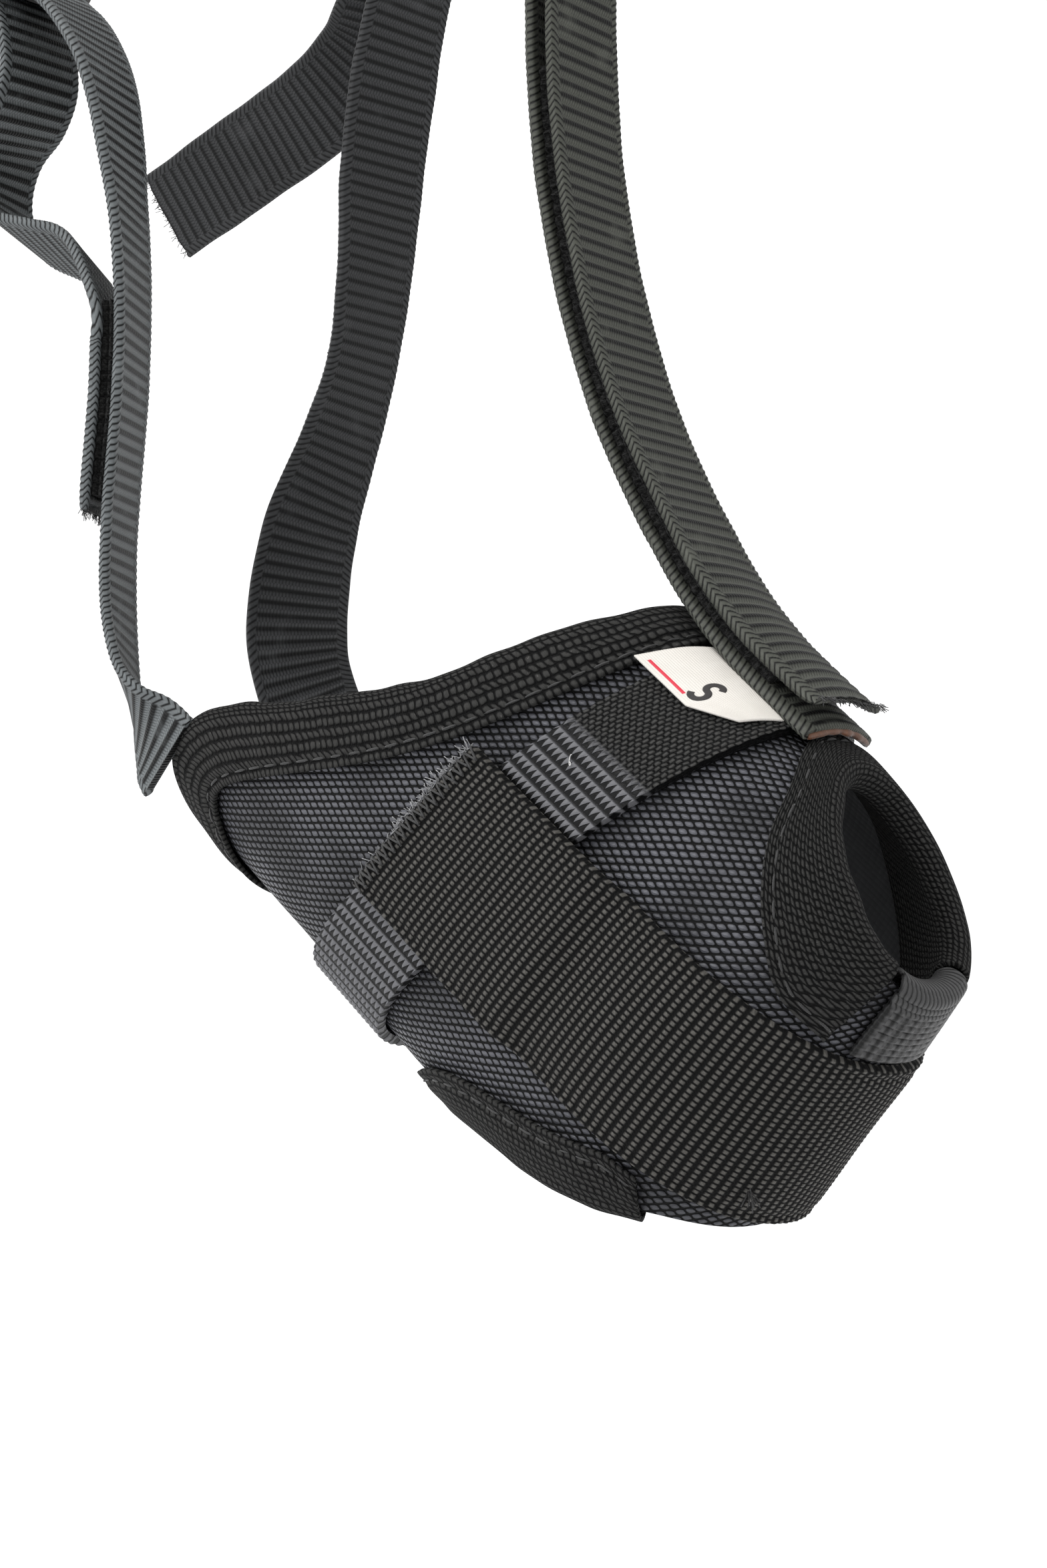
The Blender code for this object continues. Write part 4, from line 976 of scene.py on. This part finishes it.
def pile_strip(name, run, low, high, cup=0.0):
    """Hook or loop strip between two lifts above a strap's centreline, with a fuzzy face and edges."""
    half, columns = HOOK_LOOP_WIDTH / 2, 34 // DETAIL
    across = np.linspace(-1, 1, columns)
    offsets = np.concatenate([across, across[-2:0:-1]]) * half
    upper = np.concatenate([np.ones(columns), np.zeros(columns - 2)])
    upper[[0, columns - 1]] = 0.5
    u, v = run.distance[:, None], offsets[None, :]
    fuzz = (0.13 * MM * np.sin(u / (0.21 * MM) + 3 * np.sin(v / (0.5 * MM)))
            * np.sin(v / (0.24 * MM) + u / (0.9 * MM)))
    edge = np.exp(-(half - np.abs(v)) / (0.4 * MM))
    lift = low + (high - low) * upper[None, :] + fuzz * (1 - edge) * 0.5
    drop = np.broadcast_to(np.asarray(cup), run.distance.shape)[:, None] * (v / (STRAP_WIDTH / 2)) ** 2
    shaggy = v + edge * fuzz * 4 * np.sign(v)
    points = (run.centre[:, None] + run.across[:, None] * shaggy[..., None]
              + run.out[:, None] * (lift - drop)[..., None])
    weave = np.stack(np.broadcast_arrays(u, v), -1) / MM
    piece = add_piece(name, points, weave, "pile", tube=True, caps=True)
    return piece


def add_tubes(name, lines, radii, look, sides=6):
    """Mesh of round threads: each line is an array of points, and each of its points has a radius."""
    work = bmesh.new()
    for line, radius in zip(lines, radii):
        line = np.asarray(line, float)
        way = np.gradient(line, axis=0)
        way /= np.maximum(np.linalg.norm(way, axis=1), 1e-12)[:, None]
        start = np.array([0.31, -0.77, 0.56])
        rings = []
        for point, direction, size in zip(line, way, np.broadcast_to(radius, len(line))):
            start = start - direction * (start @ direction)
            start /= np.linalg.norm(start)
            second = np.cross(direction, start)
            angles = np.linspace(0, 2 * math.pi, sides, endpoint=False)
            rings.append([work.verts.new(point + size * (math.cos(a) * start + math.sin(a) * second))
                          for a in angles])
        for low, high in zip(rings, rings[1:]):
            for k in range(sides):
                work.faces.new((low[k], low[(k + 1) % sides], high[(k + 1) % sides], high[k]))
        work.faces.new(rings[0][::-1])
        work.faces.new(rings[-1])
    mesh = bpy.data.meshes.new(name)
    work.to_mesh(mesh)
    work.free()
    mesh.shade_smooth()
    mesh.materials.append(LOOKS[look])
    piece = bpy.data.objects.new(name, mesh)
    bpy.context.scene.collection.objects.link(piece)
    return piece


def stitch_lines(points, normals, sink=0.05 * MM, first=0.4 * MM):
    """Short raised thread lengths along a seam on a surface, with the radius at each point."""
    distance = np.concatenate([[0], np.cumsum(np.linalg.norm(np.diff(points, axis=0), axis=1))])
    t = np.linspace(0, 1, 7)
    arch = np.sin(math.pi * t) ** 0.6
    lines = []
    for start in np.arange(first, distance[-1] - STITCH_LENGTH, STITCH_PITCH):
        place = start + STITCH_LENGTH * t
        at = np.stack([np.interp(place, distance, points[:, k]) for k in range(3)], 1)
        up = np.stack([np.interp(place, distance, normals[:, k]) for k in range(3)], 1)
        lines.append(at + up * (arch * 0.16 * MM - sink)[:, None])
    return lines, [0.17 * MM * (0.55 + 0.45 * arch)] * len(lines)


def seam_on_sleeve(along, around, lift):
    """Points and outward directions of a seam on the sleeve."""
    low, high = sleeve_points(along, around, lift), sleeve_points(along, around, lift + 0.5 * MM)
    return low, (high - low) / (0.5 * MM)


def sew_tape(name, edge, inner, from_side=1.4 * MM):
    """Row of stitches along a folded tape, near its open sides."""
    way = edge - inner
    place = inner + way / np.linalg.norm(way, axis=1, keepdims=True) * from_side
    limit = HALF_GIRTH - 0.01 * MM
    seam = seam_on_sleeve(place[:, 0], np.clip(place[:, 1], -limit, limit),
                          TAPE_OUTER_LIFT + TAPE_THICKNESS / 2 - 0.1 * MM)
    piece = add_tubes(name, *stitch_lines(*seam), "thread")
    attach(piece, "sleeve")
    return piece


# ---------------------------------------------------------------- strap pieces

def bar_wrap(bar, axis, up):
    """Route points round the slot side of a buckle bar, and a little past it."""
    points = []
    for degrees in np.linspace(90, -90, 6):
        angle = math.radians(degrees)
        points.append(bar + WRAP_RADIUS * (math.cos(angle) * axis + math.sin(angle) * up))
    points.append(points[-1] - axis * WRAP_END)
    return [(*(point / MM), 0) for point in points]


def loop_points():
    """Route points of the loop at the top of the forehead strap."""
    (x0, _, z0, _), (x1, _, z1, _) = FOREHEAD_ROUTE[-2:]
    length = math.hypot(x1 - x0, z1 - z0)
    way_x, way_z = (x1 - x0) / length, (z1 - z0) / length
    return [(x1 + way_x * a + way_z * b, 0, z1 + way_z * a - way_x * b, 0) for a, b in FOREHEAD_LOOP]


def add_strap(name, node, run, look, bend, cup=0.0, ragged=0.0, tight=0.0):
    """Strap webbing, with the part it replaces hidden and its transform baked in; bend changes nothing."""
    piece = webbing(name, run, look, cup, ragged, tight)
    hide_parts(node)
    first = max(0, np.argmax(run.distance >= 0)) if run.distance[0] < 0 else 0
    last = np.argmax(run.distance >= run.distance[first] + bend)
    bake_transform(piece)
    return piece


def add_pile(node, run, body, low, high, cup=0.0):
    piece = pile_strip(node.replace("strip", "pile"), run, low, high, cup)
    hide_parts(node)
    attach(piece, body)
    return piece


def forehead_cup(run):
    return np.interp(-run.centre[:, 0], [-22.5 * MM, -8.5 * MM, 10.6 * MM], [1.6 * MM, 1.4 * MM, 0])


def build_forehead():
    up = run_along(FOREHEAD_ROUTE)
    back = up.between(0, up.distance[-1] - 4 * MM).raised(TAIL_LIFT, 5 * MM)
    whole = run_along(FOREHEAD_ROUTE + loop_points() + back)
    end = whole.nearest(Vector(loop_points()[-1][:3]) * MM)
    strap, tail = whole.between(0, end), whole.between(end, whole.distance[-1])
    add_strap("forehead_webbing", "forehead_strap", strap, "webbing", 9 * MM,
              forehead_cup(strap))
    add_strap("forehead_tail_webbing", "forehead_tail", tail, "webbing",
              6 * MM,
              -forehead_cup(tail), 0.35 * MM)
    stuck = strap.between(9 * MM, up.distance[-1] - 30 * MM)
    add_pile("forehead_hook_strip", stuck, "forehead_strap", PILE_INNER_LIFT, PILE_OUTER_LIFT, forehead_cup(stuck))
    add_pile("forehead_loop_strip", stuck, "forehead_tail", 1.70 * MM, 2.68 * MM, forehead_cup(stuck))
    return strap, tail


def build_right():
    route = RIGHT_ROOT + RIGHT_ROUTE + bar_wrap(FEMALE_BAR, FEMALE_AXIS, FEMALE_UP)
    strap = run_along(route)
    beside = strap.between(SHARED_START, SHARED_END).raised(-TAIL_LIFT, 4 * MM)
    whole = run_along(route + RIGHT_TAIL_LOOSE + beside)
    end = whole.nearest(Vector(route[-1][:3]) * MM)
    strap, tail = whole.between(0, end), whole.between(end, whole.distance[-1])
    strap.distance = strap.distance - ROOT_DEPTH
    add_strap("right_cheek_webbing", "right_cheek_strap", strap, "right_webbing",
              9 * MM,
              tight=15 * MM)
    add_strap("right_tail_webbing", "right_cheek_tail", tail, "right_webbing",
              6 * MM,
              ragged=0.3 * MM)
    shared = strap.between(SHARED_START + 1.6 * MM, SHARED_END - 1.6 * MM)
    add_pile("right_hook_strip", shared, "right_strap", -PILE_OUTER_LIFT, -PILE_INNER_LIFT)
    add_pile("right_loop_strip", shared, "right_tail", -2.68 * MM, -1.70 * MM)
    return strap, tail


def build_left():
    route = LEFT_ROOT + LEFT_ROUTE + bar_wrap(MALE_BAR, MALE_AXIS, MALE_UP)
    whole = run_along(route + LEFT_TAIL_ROUTE[1:])
    end = whole.nearest(Vector(route[-1][:3]) * MM)
    strap, tail = whole.between(0, end), whole.between(end, whole.distance[-1])
    strap.distance = strap.distance - ROOT_DEPTH
    add_strap("left_cheek_webbing", "left_cheek_strap", strap, "left_webbing", 9 * MM,
              tight=15 * MM)
    add_strap("left_tail_webbing", "left_cheek_tail", tail, "left_webbing", 6 * MM,
              ragged=0.3 * MM)
    add_pile("left_hook_strip", strap.between(LEFT_HOOK_START, LEFT_HOOK_END), "left_strap",
             -PILE_OUTER_LIFT, -PILE_INNER_LIFT)
    loop = tail.between(tail.distance[0] + LEFT_LOOP_START, tail.distance[-1] - 1.5 * MM)
    add_pile("left_loop_strip", loop, "left_tail", PILE_INNER_LIFT, PILE_OUTER_LIFT)
    return strap, tail


# ---------------------------------------------------------------- small details

def add_detail(name, lines, radii, look, body, sides=6):
    piece = add_tubes(name, lines, radii, look, sides)
    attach(piece, body)
    return piece


def overlock(side):
    """Zigzag thread over the chin band's cut end: lines from inside the end to just past it and back."""
    heights = np.arange(BAND_BOTTOM_Z + 0.6 * MM, BAND_TOP_Z - 0.5 * MM, 0.62 * MM)
    lines = []
    for k, height in enumerate(heights):
        t = np.linspace(0, 1, 8)
        way = t if k % 2 else 1 - t
        inside = 2.5 * MM + 0.3 * MM * math.sin(2.3 * k)
        level = height + 0.62 * MM * t
        along = arc_of_x(BAND_END_X + BAND_END_SLANT * level) - 0.35 * MM + inside * way
        lift = band_lift(0.0) + BAND_THICKNESS / 2 + 0.34 * MM - 0.75 * MM * (1 - way) ** 6
        lines.append(sleeve_points(along, side * round_of_height(level), lift))
    return lines


def tufts(places, ways, count, length, spread, seed):
    """Fine loose fibres that start at random among the places and bend as they leave."""
    chance = np.random.default_rng(seed)
    lines = []
    for _ in range(count):
        k = chance.integers(len(places))
        way = ways[k] + chance.normal(0, spread, 3)
        bend = chance.normal(0, 0.5, 3)
        t = np.linspace(0, 1, 6)[:, None]
        reach = length * chance.uniform(0.5, 1.2)
        lines.append(places[k] + chance.normal(0, 0.12 * MM, 3) + reach * (t * way + 0.5 * t * t * bend))
    return lines


def fray_band_ends():
    for side, name in ((-1, "right"), (1, "left")):
        lines = overlock(side)
        add_detail(f"band_overlock_{name}", lines, [0.16 * MM] * len(lines),
                   "thread", "sleeve")
        level = np.linspace(BAND_BOTTOM_Z + 0.5 * MM, BAND_TOP_Z - 0.3 * MM, 60)
        along = arc_of_x(BAND_END_X + BAND_END_SLANT * level) - 0.1 * MM
        places, ways = seam_on_sleeve(along, side * round_of_height(level), band_lift(0.0) + 0.35 * MM)
        pull = np.array([-0.5, 0, 0]) + 0.35 * ways
        upper = slice(24, 60)
        lines = tufts(places[upper], pull[upper], 110, 0.9 * MM, 0.6, 5 + side)
        lines += tufts(places, pull, 60, 0.7 * MM, 0.6, 9 + side)
        add_detail(f"band_fray_{name}", lines, [0.055 * MM] * len(lines), "fray", "sleeve", 4)


def fray_strap_end(name, run, body, count, seed):
    offsets = np.linspace(-0.48, 0.48, 60)[:, None] * STRAP_WIDTH
    places = run.centre[-1] + run.across[-1] * offsets
    way = run.centre[-1] - run.centre[-3]
    ways = np.tile(way / np.linalg.norm(way), (len(places), 1))
    lines = tufts(places, ways, count, 0.8 * MM, 0.35, seed)
    add_detail(name, lines, [0.05 * MM] * len(lines), "thread", body, 4)


def melted_root(run):
    """Bead of melted fibre along the forehead strap's cut end, on the nose binding."""
    offsets = np.linspace(-6.8, 6.8, 40) * MM
    uneven = ripple(offsets, offsets * 0.3, 1.1 * MM)
    drop = 1.6 * MM * (offsets / (STRAP_WIDTH / 2)) ** 2
    line = (run.centre[0] + run.across[0] * offsets[:, None] - run.out[0] * (drop + 0.25 * MM)[:, None]
            + np.array([0.15 * MM, 0, 0]) * uneven[:, None])
    add_detail("melted_edge", [line], [0.42 * MM + 0.1 * MM * uneven], "residue",
               "sleeve", 8)


def loose_threads():
    t = np.linspace(0, 1, 14)
    curl = np.stack([arc_of_x(5.0 * MM) + 0.55 * MM * np.sin(5.5 * t), -27.4 * MM + 0.8 * MM * (t - 0.5)
                     + 0.3 * MM * np.cos(7 * t)], 1)
    line = sleeve_points(curl[:, 0], curl[:, 1], GIRTH_LIFT + 1.05 * MM + 0.15 * MM * np.sin(6 * t))
    add_detail("lint_curl", [line], [0.055 * MM], "lint", "sleeve", 5)
    place, way = seam_on_sleeve(arc_of_x(50.2 * MM), -54.3 * MM, BAND_LIFT + 0.5 * MM)
    lines = tufts(place[None], way[None] + np.array([[0.3, 0, -0.4]]), 9, 2.2 * MM, 0.4, 3)
    add_detail("loose_thread", lines, [0.08 * MM] * len(lines), "thread", "sleeve", 5)


# ---------------------------------------------------------------- building

def build_sleeve():
    shell = sew_to_sleeve(sleeve_cloth("shell_cloth", 0.0, 0.8 * MM, "shell", 0.10 * MM),
                          "outer_shell")
    lining = sew_to_sleeve(sleeve_cloth("lining_cloth", -1.1 * MM, 0.5 * MM, "lining", 0.0),
                           "inner_lining")
    rear = rear_binding_lines(420 // DETAIL)
    nose = nose_binding_lines(110 // DETAIL)
    throat = throat_binding_lines(130 // DETAIL)
    for lines, node, seed, ring in ((rear, "rear_rim_binding", 0.0, True),
                                    (nose, "nose_rim_binding", 0.03, False),
                                    (throat, "throat_binding", 0.05, False)):
        sew_to_sleeve(folded_tape(node.replace("binding", "tape"), *lines, seed, ring), node)
        sew_tape(node.replace("binding", "stitches"), *lines)
    sew_to_sleeve(make_chin_band(), "chin_band")
    sew_to_sleeve(make_girth(), "girth_strap")
    sew_to_sleeve(make_lip(), "nose_lip_strip")
    sew_to_sleeve(make_label(), "size_label")
    letter = make_size_letter()
    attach(letter, "sleeve")
    return shell, lining


build_sleeve()
fray_band_ends()
forehead_strap, forehead_tail = build_forehead()
fray_strap_end("forehead_fray", forehead_tail, "forehead_tail", 160, 21)
melted_root(forehead_strap)
fray_strap_end("right_fray", build_right()[1], "right_tail", 90, 22)
fray_strap_end("left_fray", build_left()[1], "left_tail", 90, 23)
loose_threads()
for node in ("buckle_female", "buckle_male", "prong_left", "prong_right"):
    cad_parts[node].material_slots[0].material = LOOKS["plastic"]


# ---------------------------------------------------------------- camera and light

def place_camera():
    data = bpy.data.cameras.new("camera")
    data.sensor_fit = "VERTICAL"
    data.sensor_height = SENSOR
    data.lens = LENS
    camera = bpy.data.objects.new("camera", data)
    azimuth, elevation, roll = (math.radians(angle) for angle in (AZIMUTH, ELEVATION, ROLL))
    back = Vector((math.sin(azimuth) * math.cos(elevation), -math.cos(azimuth) * math.cos(elevation),
                   math.sin(elevation)))
    level = Vector((0, 0, 1)).cross(back).normalized()
    rise = back.cross(level)
    right = math.cos(roll) * level + math.sin(roll) * rise
    up = back.cross(right)
    camera.matrix_world = Matrix.Translation(CAMERA_PLACE) @ Matrix((right, up, back)).transposed().to_4x4()
    bpy.context.scene.collection.objects.link(camera)
    bpy.context.scene.camera = camera
    return right, up, back


def add_area(name, direction, distance, size, power, colour):
    data = bpy.data.lights.new(name, "AREA")
    data.shape = "DISK"
    data.size = size
    data.energy = power
    data.color = colour
    light = bpy.data.objects.new(name, data)
    direction = Vector(direction).normalized()
    light.location = LOOK_AT + direction * distance
    light.rotation_euler = direction.to_track_quat("Z", "Y").to_euler()
    bpy.context.scene.collection.objects.link(light)


def add_floor():
    """Plain pale floor under the muzzle, far wider than the picture."""
    bpy.ops.mesh.primitive_plane_add(size=400.0, location=(0, 0, FLOOR_Z))
    floor = bpy.context.object
    floor.name = "floor"
    look = Look("floor_paper", 0.9, specular=0.2)
    look.solid()
    look.paint(look.mix(look.noise(3.0), (0.93, 0.93, 0.93), (0.96, 0.96, 0.96)))
    floor.data.materials.append(look.material)


def build_studio():
    right, up, back = place_camera()
    sun = bpy.data.lights.new("sky", "SUN")
    sun.energy = 2.6
    sun.angle = math.radians(50)
    light = bpy.data.objects.new("sky", sun)
    light.rotation_euler = (right * -0.55 + up * 0.9 + back * 0.35).to_track_quat("Z", "Y").to_euler()
    bpy.context.scene.collection.objects.link(light)
    add_area("low", right * -1.0 - up * 0.35 + back * 0.6, 0.45, 0.3, 1.6, (0.90, 0.94, 1.0))
    add_area("fill", right * 0.9 - up * 0.1 + back * 0.7, 0.6, 0.4, 1.0, (0.95, 0.97, 1.0))
    add_floor()
    world = bpy.data.worlds.new("studio")
    world.use_nodes = True
    world.node_tree.nodes["Background"].inputs["Color"].default_value = (1, 1, 1, 1)
    world.node_tree.nodes["Background"].inputs["Strength"].default_value = 0.8
    bpy.context.scene.world = world
    bpy.context.scene.view_settings.view_transform = "Standard"
    bpy.context.scene.view_settings.look = "None"


build_studio()
